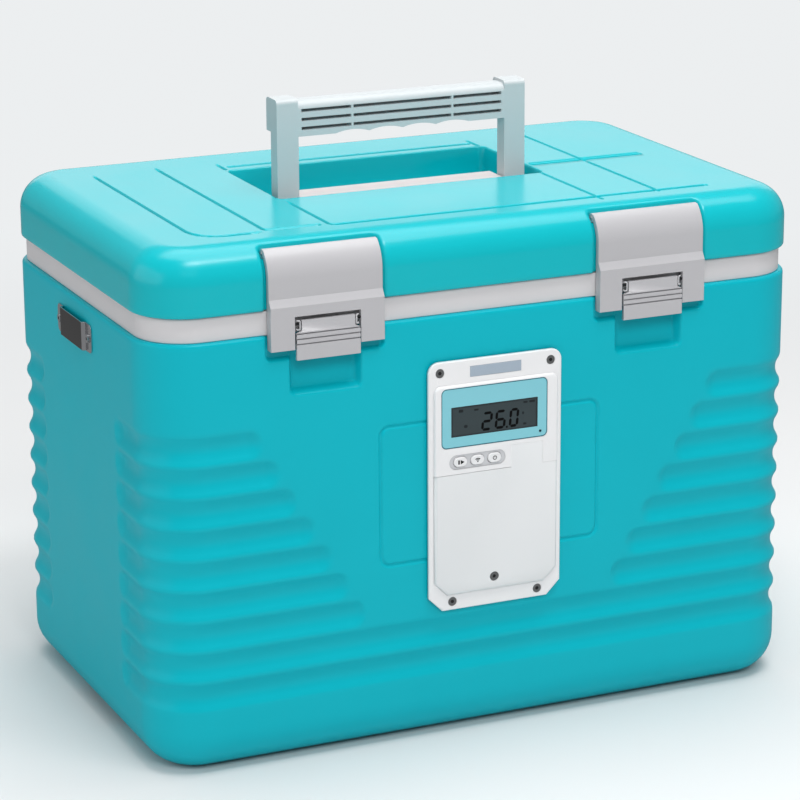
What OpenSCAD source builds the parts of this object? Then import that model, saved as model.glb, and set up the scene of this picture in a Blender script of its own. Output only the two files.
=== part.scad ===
// Insulated specimen transport box: foamed tub, hinged lid, two latches, folding handle, temperature display.
// Millimetres, +Z up. The origin is on the ground under the middle of the box; the display faces -Y.

/* [Tub] */
// Outside width of the tub and the lid
body_w = 500; // [460:5:560]
// Outside depth of the tub and the lid
body_d = 312; // [292:4:360]
// Height of the turquoise tub up to its rim
tub_h = 310; // [302:2:340]
// Corner radius of the tub and the lid, seen from above
plan_r = 40; // [36:1:46]
// Radius of the edge between the walls and the base
base_r = 29; // [24:1:32]
// Wall of the outer skins
skin_t = 6; // [5:0.5:7]
// Outer face to chamber, through skin, foam and liner
wall_t = 45; // [42:1:48]
// Underside to chamber floor
floor_t = 45; // [40:1:50]
// Wall of the white inner liner
liner_t = 3; // [2:0.5:4]
// Corner radius of the chamber, seen from above
chamber_r = 26; // [20:1:32]
// Radius between chamber floor and chamber walls
chamber_edge_r = 16; // [10:1:20]
// Height of the pale band that caps the tub
band_h = 17; // [14:1:20]
// Set-back of the band from the turquoise faces
band_inset = 3.5; // [2.5:0.5:4]
// Width of the channel under the base
channel_w = 80; // [60:2:100]
// Height of the channel under the base
channel_h = 10; // [6:1:12]

/* [Corner grooves] */
// Number of grooves, counted down from the top one
groove_count = 9; // [7:1:9]
// Depth of the top groove below the rim
groove_drop = 74.3; // [70:0.1:80]
// Distance from one groove to the next
groove_pitch = 22.1; // [20:0.1:23]
// Radius of the round groove section
groove_r = 14.6; // [12:0.2:17]
// Depth of the grooves
groove_depth = 3.4; // [2:0.1:4]
// Where the top groove stops on the front, from the middle
groove_end_x = 172; // [160:1:190]
// How much further in each lower groove runs
groove_step_x = 12.6; // [10:0.2:14]
// Where the grooves stop on the sides, from the middle
groove_end_y = 80; // [70:1:95]
// Number of lowest grooves that run right across front and back
groove_full = 2; // [0:1:3]

/* [Lid] */
// Height of the lid shell
lid_h = 45; // [42:1:60]
// Radius of the lid's top edge
lid_edge_r = 24; // [20:1:26]
// Gap between the band and the lid
lid_gap = 0.5; // [0.3:0.1:1]
// Depth of the lid's plug below the parting line
plug_depth = 14; // [8:1:20]
// Gap between the plug and the chamber walls
plug_gap = 3; // [2:0.5:5]
// Width of the rubber seal
seal_w = 8; // [6:0.5:10]
// Thickness of the rubber seal
seal_t = 3; // [2:0.1:3.2]

/* [Handle] */
// Width over the handle's legs
handle_w = 196; // [180:2:210]
// Width of a leg, seen from the front
leg_w = 16.5; // [14:0.5:20]
// Thickness of a leg from front to back
leg_d = 12; // [10:0.5:14]
// Thickness of the grip from front to back
grip_d = 20; // [16:0.5:22]
// Height of the grip
grip_h = 25.5; // [22:0.5:30]
// Height of the grip's top above the lid
handle_rise = 64.5; // [58:0.5:66]
// Extra height of the rounded heads on the legs
head_rise = 2; // [0:0.5:3]
// Radius of the handle's pins
handle_pin_r = 2.5; // [2:0.1:3]
// Length of the well that the handle folds into
well_w = 209; // [206:1:230]
// Front edge of the well, ahead of the middle
well_front = 27; // [24:1:32]
// Back edge of the well, behind the middle
well_back = 77; // [75:1:84]
// Depth of the well
well_depth = 25; // [24.5:0.5:28]
// Number of finger scallops under the grip
scallop_count = 4; // [2:1:5]
// Width of one finger scallop
scallop_w = 26.3; // [22:0.1:28]
// Depth of a finger scallop
scallop_depth = 2; // [1:0.25:3]
// Number of slot rows in the grip
slot_rows = 3; // [1:1:3]
// Distance between slot rows
slot_pitch = 6.5; // [5.5:0.1:6.6]

/* [Latches] */
// Distance of each latch from the middle
latch_x = 123.8; // [116:0.2:135]
// Width of a latch plate
latch_w = 83; // [76:1:90]
// Depth of a latch plate's lower edge below the rim
latch_drop = 10; // [8:0.5:12]
// Wall of a latch plate
latch_t = 3; // [2.5:0.25:3.5]
// How far the latch stands out above the lid's shoulder
latch_proud = 1.5; // [1:0.1:2]
// Extra step of the latch's lower part
latch_step = 3.2; // [2:0.1:4]
// Height above the rim at which the lower part's bevel begins
bevel_rise = 20; // [17:0.5:22]
// Height above the rim at which the lower part's bevel ends
bevel_end_rise = 25.2; // [23:0.2:28]
// Angle around the shoulder at which the latch ends
latch_arc = 50; // [44:1:52]
// Angle around the shoulder at which its recess ends
recess_arc = 63; // [63:1:68]
// Depth of the recess behind the latch
recess_depth = 3.5; // [3:0.1:4]
// Gap between a latch's ends and its recess
latch_side_gap = 2.5; // [2:0.1:4]
// Depth below the rim at which the tub's latch recess ends
tub_recess_drop = 17; // [15:0.5:20]
// Width of the finger pocket under a latch
pocket_w = 52; // [48:1:60]
// Height of the finger pocket
pocket_h = 25.5; // [20:0.5:32]
// Depth of the finger pocket
pocket_depth = 7; // [5:0.5:9]
// Width of the release tab
tab_w = 46.5; // [40:0.5:50]
// Length of the release tab below the latch plate
tab_drop = 7.4; // [5:0.2:9]
// Height of the release tab's pin above the plate's lower edge
tab_pin_rise = 17.5; // [16:0.5:19]
// Radius of the release tab's pin
tab_pin_r = 1; // [0.8:0.05:1.1]
// Radius of the latch's pivot pin
latch_pin_r = 1.5; // [1.2:0.1:1.8]
// Radius of the latch's pivot barrel
latch_barrel_r = 3.2; // [3:0.1:3.4]

/* [Hinges] */
// Distance of each rear hinge from the middle
hinge_x = 124; // [110:1:135]
// Width of a hinge
hinge_w = 76; // [60:1:84]
// Thickness of a hinge leaf
leaf_t = 3.5; // [3:0.1:3.5]
// Radius of the hinge knuckles
knuckle_r = 4.5; // [4:0.1:4.8]
// Radius of the hinge pins
hinge_pin_r = 2; // [1.5:0.1:2.4]
// Height of a tub-side leaf
leaf_h = 36; // [30:1:42]

/* [Display] */
// Width of the display housing
panel_w = 102.6; // [98:0.2:108]
// Distance of the display housing's middle to the right of the box's middle
panel_x = 1.8; // [0:0.2:2.6]
// Height of the display housing
panel_h = 182; // [176:1:186]
// Depth of the housing's upper edge below the rim
panel_drop = 32; // [18:1:34]
// Chamfer of the housing's lower corners
panel_chamfer = 10.5; // [6:0.5:11]
// Radius of the housing's upper corners
panel_r = 8; // [5:0.5:9]
// Thickness of the gasket behind the housing
gasket_t = 1; // [0.6:0.1:1.5]
// Thickness of the housing's flange
flange_t = 3; // [2.6:0.1:3.4]
// Height of the raised middle above the flange
raise_t = 2.6; // [2.2:0.1:3]
// Width of the flange beside the raised middle
raise_side = 3.6; // [3.2:0.2:5]
// Depth of the electronics pocket behind the tub's face
bay_depth = 20; // [20:0.5:24]
// Width of the blue display window
window_w = 82; // [78:0.5:84]
// Height of the blue display window
window_h = 43.4; // [40:0.2:44]
// Height of the window's lower edge above the housing's lower edge
window_rise = 119.8; // [118.4:0.2:120.4]
// Width of the liquid crystal screen
screen_w = 66.6; // [60:0.2:72]
// Height of the liquid crystal screen
screen_h = 21.5; // [18:0.5:26]
// Distance from one button to the next
button_pitch = 13.1; // [12:0.1:13.4]
// Length of a button
button_w = 10.2; // [9:0.1:11]
// Height of a button
button_h = 7; // [6:0.1:8]
// How far a button stands out
button_proud = 0.6; // [0.3:0.1:1]
// Height of the battery cover
cover_h = 86; // [80:0.5:88]

/* [Strap loops] */
// Length of a strap loop over its feet
loop_l = 74; // [64:1:84]
// Height of a strap loop
loop_h = 20.5; // [16:0.5:26]
// Length of the raised bridge
bridge_l = 46; // [36:1:52]
// Clear gap under the bridge
loop_gap = 2.5; // [2:0.25:4]
// Thickness of the steel strip
loop_t = 1; // [0.75:0.25:1.5]
// Depth of the loops' middle below the rim
loop_drop = 22; // [20:1:35]

/* [Hidden] */

$fn = 96;
// Overlap that lets a cut pass clearly through a face
cut = 1;
// Gap between the foam and what surrounds it
foam_gap = 0.3;
// Radial clearance of a turning fit
run_gap = 0.05;
// Clearance around the buttons, the lamp and the battery cover
button_gap = 0.35;
cover_gap = 0.25;

// Heights
band_z1 = tub_h + band_h;
groove_top_z = tub_h - groove_drop;
latch_z0 = tub_h - latch_drop;
bevel_z0 = tub_h + bevel_rise;
bevel_z1 = tub_h + bevel_end_rise;
panel_z0 = tub_h - panel_drop - panel_h;
loop_z = tub_h - loop_drop;
lid_z0 = band_z1 + lid_gap;
lid_top = lid_z0 + lid_h;

// Chamber
chamber_w = body_w - 2 * wall_t;
chamber_d = body_d - 2 * wall_t;
liner_flange_w = 12;
liner_flange_t = 3;
skin_boss = 5;

// Lid's liner, plug and seal
lid_liner_t = 4;
lid_plate_w = body_w - 2 * (skin_t + foam_gap);
lid_plate_d = body_d - 2 * (skin_t + foam_gap);
lid_plate_r = plan_r - skin_t - foam_gap;
plug_w = chamber_w - 2 * plug_gap;
plug_d = chamber_d - 2 * plug_gap;
plug_r = chamber_r - plug_gap;
plug_wall = 3;
seal_path_out = 15;
seal_mid_w = chamber_w + 2 * seal_path_out;
seal_mid_d = chamber_d + 2 * (seal_path_out - 4);
seal_air = 0.3;

// Grooves
groove_axis = groove_r - groove_depth;

// Display, front to back
face_y = -body_d / 2;
flange_back = face_y - gasket_t;
flange_front = flange_back - flange_t;
raise_front = flange_front - raise_t;
display_reach = gasket_t + flange_t + raise_t + button_proud;
raise_w = panel_w - 2 * raise_side;
raise_foot = 11.7;
raise_head = 17;
raise_z0 = panel_z0 + raise_foot;
raise_h = panel_h - raise_foot - raise_head;
raise_chamfer = 10;
raise_r = 5;
bay_w = raise_w - 5.4;
bay_z0 = raise_z0 + 1.5;
bay_h = raise_h - 2;
bay_margin = 16;
box_wall = 2;
box_gap = 1;
box_back = face_y + bay_depth - 4;
window_z0 = panel_z0 + window_rise;
window_depth = 1.2;
window_sink = 0.3;
window_r = 4;
screen_z0 = window_z0 + 8;
screen_gap = 0.2;
screen_sink = 0.8;
board_front = flange_back + 1.6;
board_t = 1.6;
board_w = raise_w - 17.4;
board_rise = 93;
board_z0 = raise_z0 + board_rise;
board_h = 55;
post_r = 3;
button_z = window_z0 - 10.4;
button_x0 = -2 * button_pitch - 0.2;
button_travel = 1;
pill_w = 2 * button_pitch + button_w + 7;
pill_h = button_h + 3.7;
pill_x = button_x0 + button_pitch;
pill_sink = 0.6;
pill_t = 1.2;
cover_w = raise_w - 10.2;
cover_z0 = raise_z0 + 2.8;
cover_chamfer = 8;
cover_depth = raise_t;
port_side = 5;
port_foot = 15;
port_h = cover_h - port_foot - port_side;
tongue_x = 25.1;
tongue_w = 24;
tongue_h = 16;
cover_screw_z = cover_z0 + 7;
screw_r = 1.6;
screw_head_r = 3.2;
screw_head_t = 1.8;
screw_l = 12;
plate_w = 39.2;
plate_h = 7.5;
plate_t = 0.5;
plate_sink = 0.4;
plate_z0 = panel_z0 + panel_h - 12.7;
lamp_r = 0.9;
lamp_x = window_w / 2 - 5.5;
lamp_z = window_z0 + 4.3;
top_screw_x = panel_w / 2 - 8.7;
top_screw_z = panel_z0 + panel_h - 7.7;
low_screw_x = panel_w / 2 - 18.1;
low_screw_z = panel_z0 + 6.4;
probe_r = 3;
probe_gap = 0.15;
probe_rise = 53;
probe_z = panel_z0 + probe_rise;
probe_reach = 8;
probe_nut_r = 6;
probe_nut_t = 2;
battery_w = 70;
battery_h = 62;
battery_d = box_back - flange_back - 2.5;

// Shoulder of the lid that the latches follow
arc_y = -(body_d / 2 - lid_edge_r);
arc_z = lid_top - lid_edge_r;
latch_out_r = lid_edge_r + latch_proud;
latch_in_r = latch_out_r - latch_t;
flange_in_r = latch_out_r - 4;
recess_r = lid_edge_r - recess_depth;
recess_reach = 20;
recess_w = latch_w + 2 * latch_side_gap;
pivot_r = latch_in_r - 1;
pivot_y = arc_y - pivot_r * cos(latch_arc);
pivot_z = arc_z + pivot_r * sin(latch_arc);
pivot_room = 0.5;
pin_grip = 5;
plate_front = arc_y - latch_out_r;
lower_front = plate_front - latch_step;
lower_back = lower_front + latch_t + 0.4;
flange_back_y = arc_y - flange_in_r;
latch_flange_t = 2;
tub_recess_z0 = tub_h - tub_recess_drop;
tub_recess_depth = recess_depth + 0.5;
tub_recess_y = face_y + tub_recess_depth;
pocket_z0 = tub_recess_z0 - pocket_h;
pocket_r = 4;

// Release tab
tab_gap = 0.9;
tab_proud = 1;
tab_t = 2.8;
tab_z0 = latch_z0 - tab_drop;
tab_pin_y = (lower_front + lower_back) / 2;
tab_pin_z = latch_z0 + tab_pin_rise;
tab_top = tab_pin_z + 3.8;
tab_window_z1 = tab_top + 1.5;
tab_front = lower_front - tab_proud;
tab_barrel_r = tab_pin_r + 1.2;
tab_neck_w = tab_w - 4.6;
tab_neck_z = tab_pin_z - 4.6;
ridge_pitch = 3.6;
ridge_z0 = latch_z0 + 3.1;
ridge_h = 1;
ridge_depth = 0.8;
ridge_count = 3;
hook_w = 32;
hook_z0 = latch_z0 + 2.5;
hook_t = 2.5;
hook_miss = 0.5;
keeper_w = hook_w + 14;
keeper_t = 0.8;
keeper_lip = 1.1;
keeper_lip_z = hook_z0 + hook_t + 1;
keeper_lip_t = 1.6;
keeper_front = tub_recess_y - keeper_lip;
keeper_z0 = tub_recess_z0 + pocket_r + 1;
keeper_h = tub_h - 1 - keeper_z0;
keeper_screw_r = 1;
keeper_head_r = 1.8;
keeper_head_t = 0.6;
keeper_screw_l = 5;
keeper_screw_x = keeper_w / 2 - 3.5;
keeper_screw_z = keeper_z0 + 3;
spring_t = 0.7;

// Handle, upright, and its pivot in the well
handle_front = -8;
handle_top = lid_top + handle_rise;
grip_z0 = handle_top - grip_h;
hpin_y = handle_front + leg_d / 2;
hpin_z = lid_top - 3.5 - leg_d / 2;
leg_inner = handle_w / 2 - leg_w;
seat_gap = 1;
seat_w = 2 * (leg_inner - seat_gap);
seat_top = lid_top - 4.9;
seat_back = 14.5;
well_floor = lid_top - well_depth;
well_r = 5;
grip_r = 6;
head_r = 3.5;
slot_h = 2.4;
slot_depth = 8;
slot_z0 = handle_top - 6.8;
slot_bridge = 1.6;
slot_bridge_x = 39.5;
slot_margin = 2.5;
well_skin = 5;

// Rear hinges
hinge_y = body_d / 2 + display_reach - knuckle_r;
hinge_z = tub_h + band_h / 2;
hinge_recess_w = hinge_w + 8;
leaf_z1 = tub_h - 2;
leaf_z0 = leaf_z1 - leaf_h;
hinge_recess_z0 = leaf_z0 - 4;
leaf_floor = body_d / 2 - tub_recess_depth;
lid_leaf_floor = body_d / 2 - recess_depth;
lid_leaf_z0 = lid_z0 + 1.5;
lid_leaf_z1 = arc_z - 1.5;
knuckle_gap = 0.4;
mid_knuckle_w = hinge_w * 0.36;
web_y0 = body_d / 2 - band_inset + 0.8;
web_y1 = hinge_y - 1.5;
hinge_screw_r = 2;
hinge_screw_head_r = 3.6;
hinge_screw_l = 8;
hinge_screw_side = 10;
low_screw_rise = 7;
high_screw_rise = 18;

// Strap loops
loop_face = body_w / 2;
loop_foot = (loop_l - bridge_l) / 2;
loop_screw_y = loop_l / 2 - loop_foot * 0.42;
loop_screw_r = 1.6;
loop_head_r = 3;
loop_head_t = 1.4;

// Plain profiles

// Quarter of a disc in the corner below and outside its centre
module quarter_disc(r) {
    intersection() {
        circle(r);
        translate([0, -r]) square(r);
    }
}

// Section of a block's edge: r_plan wide, h high, its lower outer corner rounded by r_edge
module edge_section(r_plan, h, r_edge) {
    square([r_plan - r_edge, h]);
    translate([r_plan - r_edge, r_edge]) square([r_edge, h - r_edge]);
    translate([r_plan - r_edge, r_edge]) quarter_disc(r_edge);
}

// Block with rounded upright corners and a rounded lower edge, its underside on Z = 0
module soft_block(w, d, h, r_plan, r_edge) {
    in_x = w / 2 - r_plan;
    in_y = d / 2 - r_plan;
    translate([-in_x, -in_y, 0]) cube([2 * in_x, 2 * in_y, h]);
    for (turn = [0, 180]) {
        rotate(turn) translate([in_x, in_y, 0]) rotate([90, 0, 0])
            linear_extrude(2 * in_y) edge_section(r_plan, h, r_edge);
        rotate(turn) translate([-in_x, in_y, 0]) rotate([90, 0, 90])
            linear_extrude(2 * in_x) edge_section(r_plan, h, r_edge);
        rotate(turn) translate([in_x, in_y, 0])
            rotate_extrude(angle = 90) edge_section(r_plan, h, r_edge);
        rotate(turn) translate([-in_x, in_y, 0]) rotate(90)
            rotate_extrude(angle = 90) edge_section(r_plan, h, r_edge);
    }
}

// The same block hanging down from Z = 0
module soft_block_down(w, d, h, r_plan, r_edge) {
    mirror([0, 0, 1]) soft_block(w, d, h, r_plan, r_edge);
}

// Rounded rectangle about the origin
module round_rect(w, d, r) {
    square([w - 2 * r, d], center = true);
    square([w, d - 2 * r], center = true);
    for (sx = [-1, 1])
        for (sy = [-1, 1])
            translate([sx * (w / 2 - r), sy * (d / 2 - r)]) circle(r);
}

// Stadium about the origin
module stadium(w, h) {
    square([w - h, h], center = true);
    for (sx = [-1, 1]) translate([sx * (w - h) / 2, 0]) circle(h / 2);
}

// Plate outline with chamfered lower corners and rounded upper corners, its foot on Y = 0
module shield(w, h, chamfer, r) {
    polygon([
        [-w / 2 + chamfer, 0], [w / 2 - chamfer, 0], [w / 2, chamfer],
        [w / 2, h - r], [-w / 2, h - r], [-w / 2, chamfer]
    ]);
    translate([-w / 2 + r, h - r - 1]) square([w - 2 * r, r + 1]);
    for (sx = [-1, 1]) translate([sx * (w / 2 - r), h - r]) circle(r);
}

// Sweeps a Y-Z outline along X, centred
module along_x(l) {
    rotate([90, 0, 90]) linear_extrude(l, center = true) children();
}

// Sweeps an X-Z outline from Y = y towards -Y
module toward_front(y, t) {
    translate([0, y, 0]) rotate([90, 0, 0]) linear_extrude(t) children();
}

// Cylinder along Y from y0 to y1
module rod_y(x, z, y0, y1, r) {
    translate([x, y0, z]) rotate([-90, 0, 0]) cylinder(r = r, h = y1 - y0);
}

// Cylinder along X, centred on x
module rod_x(x, y, z, l, r) {
    translate([x, y, z]) rotate([0, 90, 0]) cylinder(r = r, h = l, center = true);
}

// Screw with its head's outer face at the origin, pointing along -Z
module screw(r, head_r, head_t, l) {
    difference() {
        union() {
            translate([0, 0, -head_t]) cylinder(r = head_r, h = head_t);
            translate([0, 0, -l]) cylinder(r = r, h = l - head_t);
        }
        translate([0, 0, -head_t * 0.6]) cylinder(r = head_r * 0.45, h = head_t, $fn = 6);
    }
}

// Runs its children at the left and at the right latch
module at_latch(side) {
    translate([side * latch_x, 0, 0]) children();
}

// Tub

// One corner groove: the torus round the corner and its straight ends on front and side
module groove(z, end_x) {
    in_x = body_w / 2 - plan_r;
    in_y = body_d / 2 - plan_r;
    for (sx = [-1, 1])
        for (sy = [-1, 1])
            scale([sx, sy, 1]) {
                translate([in_x, in_y, z]) rotate_extrude(angle = 90)
                    translate([plan_r + groove_axis, 0]) circle(groove_r);
                translate([end_x, in_y + plan_r + groove_axis, z]) rotate([0, 90, 0])
                    cylinder(r = groove_r, h = in_x - end_x);
                translate([in_x + plan_r + groove_axis, groove_end_y, z]) rotate([-90, 0, 0])
                    cylinder(r = groove_r, h = in_y - groove_end_y);
            }
}

// Blocks inside the tub's skin that the fittings are let into, grown by g
module tub_bosses(g) {
    translate([panel_x - panel_w / 2 - g, face_y, bay_z0 - bay_margin - g])
        cube([panel_w + 2 * g, bay_depth + skin_boss + g, bay_h + 2 * bay_margin + 2 * g]);
    for (side = [-1, 1]) {
        at_latch(side) translate([-recess_w / 2 - 4 - g, face_y, pocket_z0 - 5 - g])
            cube([recess_w + 8 + 2 * g, pocket_depth + skin_boss + g, tub_h - pocket_z0 + 5 + g]);
        translate([side * hinge_x - hinge_recess_w / 2 - 4 - g, body_d / 2 - 14 - g, hinge_recess_z0 - 5 - g])
            cube([hinge_recess_w + 8 + 2 * g, 14 + g, tub_h - hinge_recess_z0 + 5 + g]);
        translate([side > 0 ? loop_face - 12 - g : -loop_face, -loop_l / 2 - 2 - g, loop_z - loop_h / 2 - 4 - g])
            cube([12 + g, loop_l + 4 + 2 * g, loop_h + 8 + 2 * g]);
    }
    translate([-body_w / 2, -channel_w / 2 - skin_t - g, 0])
        cube([body_w, channel_w + 2 * skin_t + 2 * g, channel_h + skin_t + g]);
}

// Space inside the tub's skin, drawn in by g
module tub_inside(g) {
    t = skin_t + g;
    translate([0, 0, t])
        soft_block(body_w - 2 * t, body_d - 2 * t, tub_h + cut - t, plan_r - t, base_r - t);
}

module tub_shell() {
    color([0.0, 0.62, 0.69]) difference() {
        soft_block(body_w, body_d, tub_h, plan_r, base_r);
        difference() {
            tub_inside(0);
            tub_bosses(0);
        }
        for (i = [0 : groove_count - 1])
            groove(
                groove_top_z - i * groove_pitch,
                i >= groove_count - groove_full ? 0 : groove_end_x - i * groove_step_x
            );
        along_x(body_w + 2 * cut) round_rect(channel_w, 2 * channel_h, 6);
        toward_front(face_y + bay_depth, bay_depth + cut)
            translate([0, bay_z0 + bay_h / 2]) round_rect(bay_w, bay_h, 3);
        for (side = [-1, 1]) {
            at_latch(side) {
                toward_front(tub_recess_y, tub_recess_depth + cut)
                    translate([0, tub_h]) round_rect(recess_w, 2 * tub_recess_drop, 4);
                toward_front(face_y + pocket_depth, pocket_depth + cut)
                    translate([0, pocket_z0 + (pocket_h + pocket_r) / 2])
                        round_rect(pocket_w, pocket_h + pocket_r, pocket_r);
                for (sx = [-1, 1])
                    rod_y(
                        sx * keeper_screw_x, keeper_screw_z, tub_recess_y - cut, tub_recess_y + keeper_screw_l,
                        keeper_screw_r
                    );
            }
            translate([side * hinge_x - hinge_recess_w / 2, leaf_floor, hinge_recess_z0])
                cube([hinge_recess_w, tub_recess_depth + cut, tub_h - hinge_recess_z0 + cut]);
            for (sx = [-1, 1])
                for (z = base_screw_heights())
                    rod_y(side * hinge_x + sx * hinge_screw_x(), z, leaf_floor - 5, leaf_floor + cut, hinge_screw_r);
            for (sy = [-1, 1])
                rod_x(side * (loop_face - 3), sy * loop_screw_y, loop_z, 8, loop_screw_r);
        }
        housing_screw_places() rod_y(0, 0, face_y - cut, face_y + screw_l - flange_t - gasket_t, screw_r);
        rod_y(0, probe_z, face_y, -chamber_d / 2, probe_r + probe_gap);
    }
}

module tub_foam() {
    color([0.93, 0.89, 0.72]) difference() {
        intersection() {
            tub_inside(foam_gap);
            translate([-body_w, -body_d, 0]) cube([2 * body_w, 2 * body_d, tub_h - foam_gap]);
        }
        tub_bosses(foam_gap);
        liner_outside(foam_gap);
        translate([0, 0, tub_h - liner_flange_t - foam_gap]) linear_extrude(liner_flange_t + cut)
            round_rect(
                chamber_w + 2 * (liner_flange_w + foam_gap), chamber_d + 2 * (liner_flange_w + foam_gap),
                chamber_r + liner_flange_w
            );
        rod_y(0, probe_z, face_y, -chamber_d / 2, probe_r + probe_gap);
    }
}

// Outside of the liner, grown by g
module liner_outside(g) {
    t = liner_t + g;
    translate([0, 0, floor_t - t])
        soft_block(chamber_w + 2 * t, chamber_d + 2 * t, tub_h, chamber_r + t, chamber_edge_r + t);
}

module inner_liner() {
    color([0.94, 0.94, 0.93]) difference() {
        union() {
            intersection() {
                liner_outside(0);
                translate([-body_w, -body_d, 0]) cube([2 * body_w, 2 * body_d, tub_h]);
            }
            translate([0, 0, tub_h - liner_flange_t]) linear_extrude(liner_flange_t)
                round_rect(
                    chamber_w + 2 * liner_flange_w, chamber_d + 2 * liner_flange_w, chamber_r + liner_flange_w
                );
        }
        translate([0, 0, floor_t])
            soft_block(chamber_w, chamber_d, tub_h, chamber_r, chamber_edge_r);
        rod_y(0, probe_z, -chamber_d / 2 - liner_t - cut, -chamber_d / 2 + cut, probe_r + probe_gap);
    }
}

module rim_collar() {
    color([0.85, 0.83, 0.83]) difference() {
        translate([0, 0, tub_h]) linear_extrude(band_h)
            round_rect(body_w - 2 * band_inset, body_d - 2 * band_inset, plan_r - band_inset);
        translate([0, 0, tub_h - cut]) linear_extrude(band_h + 2 * cut)
            round_rect(chamber_w, chamber_d, chamber_r);
    }
}

// Display

// Runs its children at the four screws of the display housing
module housing_screw_places() {
    for (sx = [-1, 1]) {
        translate([panel_x + sx * top_screw_x, 0, top_screw_z]) children();
        translate([panel_x + sx * low_screw_x, 0, low_screw_z]) children();
    }
}

module display_gasket() {
    color([0.25, 0.25, 0.26]) difference() {
        toward_front(face_y, gasket_t) translate([panel_x, panel_z0 + 1])
            shield(panel_w - 2, panel_h - 2, panel_chamfer, panel_r);
        toward_front(face_y + cut, gasket_t + 2 * cut)
            translate([0, bay_z0 + bay_h / 2]) round_rect(bay_w, bay_h, 3);
        housing_screw_places() rod_y(0, 0, flange_back - cut, face_y + cut, screw_r + run_gap);
    }
}

// Outline of the battery cover with its tongue, grown by g
module cover_outline(g) {
    polygon([
        [-cover_w / 2 + cover_chamfer - g / 2, cover_z0 - g], [cover_w / 2 - cover_chamfer + g / 2, cover_z0 - g],
        [cover_w / 2 + g, cover_z0 + cover_chamfer - g / 2], [cover_w / 2 + g, cover_z0 + cover_h + g],
        [tongue_x + tongue_w / 2 + g, cover_z0 + cover_h + g],
        [tongue_x + tongue_w / 2 + g, cover_z0 + cover_h + tongue_h + g],
        [tongue_x - tongue_w / 2 - g, cover_z0 + cover_h + tongue_h + g],
        [tongue_x - tongue_w / 2 - g, cover_z0 + cover_h + g],
        [-cover_w / 2 - g, cover_z0 + cover_h + g], [-cover_w / 2 - g, cover_z0 + cover_chamfer - g / 2]
    ]);
}

// The three buttons' places along X
function button_x(i) = button_x0 + i * button_pitch;

module display_housing() {
    color([0.92, 0.92, 0.93]) difference() {
        union() {
            toward_front(flange_back, flange_t) translate([panel_x, panel_z0])
                shield(panel_w, panel_h, panel_chamfer, panel_r);
            toward_front(flange_front, raise_t) translate([panel_x, raise_z0])
                shield(raise_w, raise_h, raise_chamfer, raise_r);
            difference() {
                toward_front(box_back, box_back - flange_back) translate([0, bay_z0 + bay_h / 2])
                    round_rect(bay_w - 2 * box_gap, bay_h - 2 * box_gap, 2.5);
                toward_front(box_back + cut, box_back - flange_back + cut) translate([0, bay_z0 + bay_h / 2])
                    round_rect(bay_w - 2 * box_gap - 2 * box_wall, bay_h - 2 * box_gap - 2 * box_wall, 1.5);
            }
            for (sx = [-1, 1])
                for (z = [board_z0 + 4, board_z0 + board_h - 4])
                    rod_y(sx * (board_w / 2 - 4), z, flange_back - cut, board_front, post_r);
        }
        toward_front(raise_front + window_depth, window_depth + cut)
            translate([0, window_z0 + window_h / 2]) round_rect(window_w, window_h, window_r);
        toward_front(flange_back + cut, flange_t + raise_t + 2 * cut)
            translate([0, screen_z0 + screen_h / 2]) square([screen_w, screen_h], center = true);
        toward_front(raise_front + pill_sink + pill_t, pill_sink + pill_t + cut)
            translate([pill_x, button_z]) stadium(pill_w, pill_h);
        for (i = [0 : 2])
            toward_front(flange_back + cut, flange_t + raise_t + 2 * cut)
                translate([button_x(i), button_z]) stadium(button_w + 2 * button_gap, button_h + 2 * button_gap);
        toward_front(raise_front + cover_depth, cover_depth + cut) cover_outline(cover_gap);
        toward_front(flange_back + cut, flange_t + 2 * cut)
            translate([0, cover_z0 + port_foot + port_h / 2]) round_rect(cover_w - 2 * port_side, port_h, 3);
        rod_y(0, cover_screw_z, flange_front - cut, flange_back + cut, screw_r);
        rod_y(lamp_x, lamp_z, raise_front - cut, flange_back + cut, lamp_r + 0.2);
        toward_front(flange_front + plate_sink, plate_sink + cut)
            translate([panel_x, plate_z0 + plate_h / 2]) square([plate_w + 0.4, plate_h + 0.4], center = true);
        housing_screw_places() {
            rod_y(0, 0, flange_front - cut, flange_back + cut, screw_r + run_gap);
            rod_y(0, 0, flange_front - cut, flange_front + screw_head_t, screw_head_r + 0.2);
        }
    }
}

module display_window() {
    color([0.43, 0.72, 0.79]) difference() {
        toward_front(raise_front + window_depth, window_depth - window_sink)
            translate([0, window_z0 + window_h / 2])
                round_rect(window_w - 2 * screen_gap, window_h - 2 * screen_gap, window_r - screen_gap);
        toward_front(raise_front + window_depth + cut, window_depth + 2 * cut)
            translate([0, screen_z0 + screen_h / 2]) square([screen_w, screen_h], center = true);
        rod_y(lamp_x, lamp_z, raise_front - cut, flange_back, lamp_r + 0.2);
    }
}

module lcd_screen() {
    color([0.29, 0.33, 0.34])
        toward_front(board_front, board_front - raise_front - screen_sink)
            translate([0, screen_z0 + screen_h / 2])
                square([screen_w - 2 * screen_gap, screen_h - 2 * screen_gap], center = true);
}

module nameplate() {
    color([0.66, 0.71, 0.76])
        toward_front(flange_front + plate_sink, plate_t)
            translate([panel_x, plate_z0 + plate_h / 2]) square([plate_w, plate_h], center = true);
}

module keypad_surround() {
    color([0.72, 0.73, 0.75]) difference() {
        toward_front(raise_front + pill_sink + pill_t, pill_t)
            translate([pill_x, button_z]) stadium(pill_w - 0.3, pill_h - 0.3);
        for (i = [0 : 2])
            toward_front(raise_front + pill_sink + pill_t + cut, pill_t + 2 * cut)
                translate([button_x(i), button_z]) stadium(button_w + 2 * button_gap, button_h + 2 * button_gap);
    }
}

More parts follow.
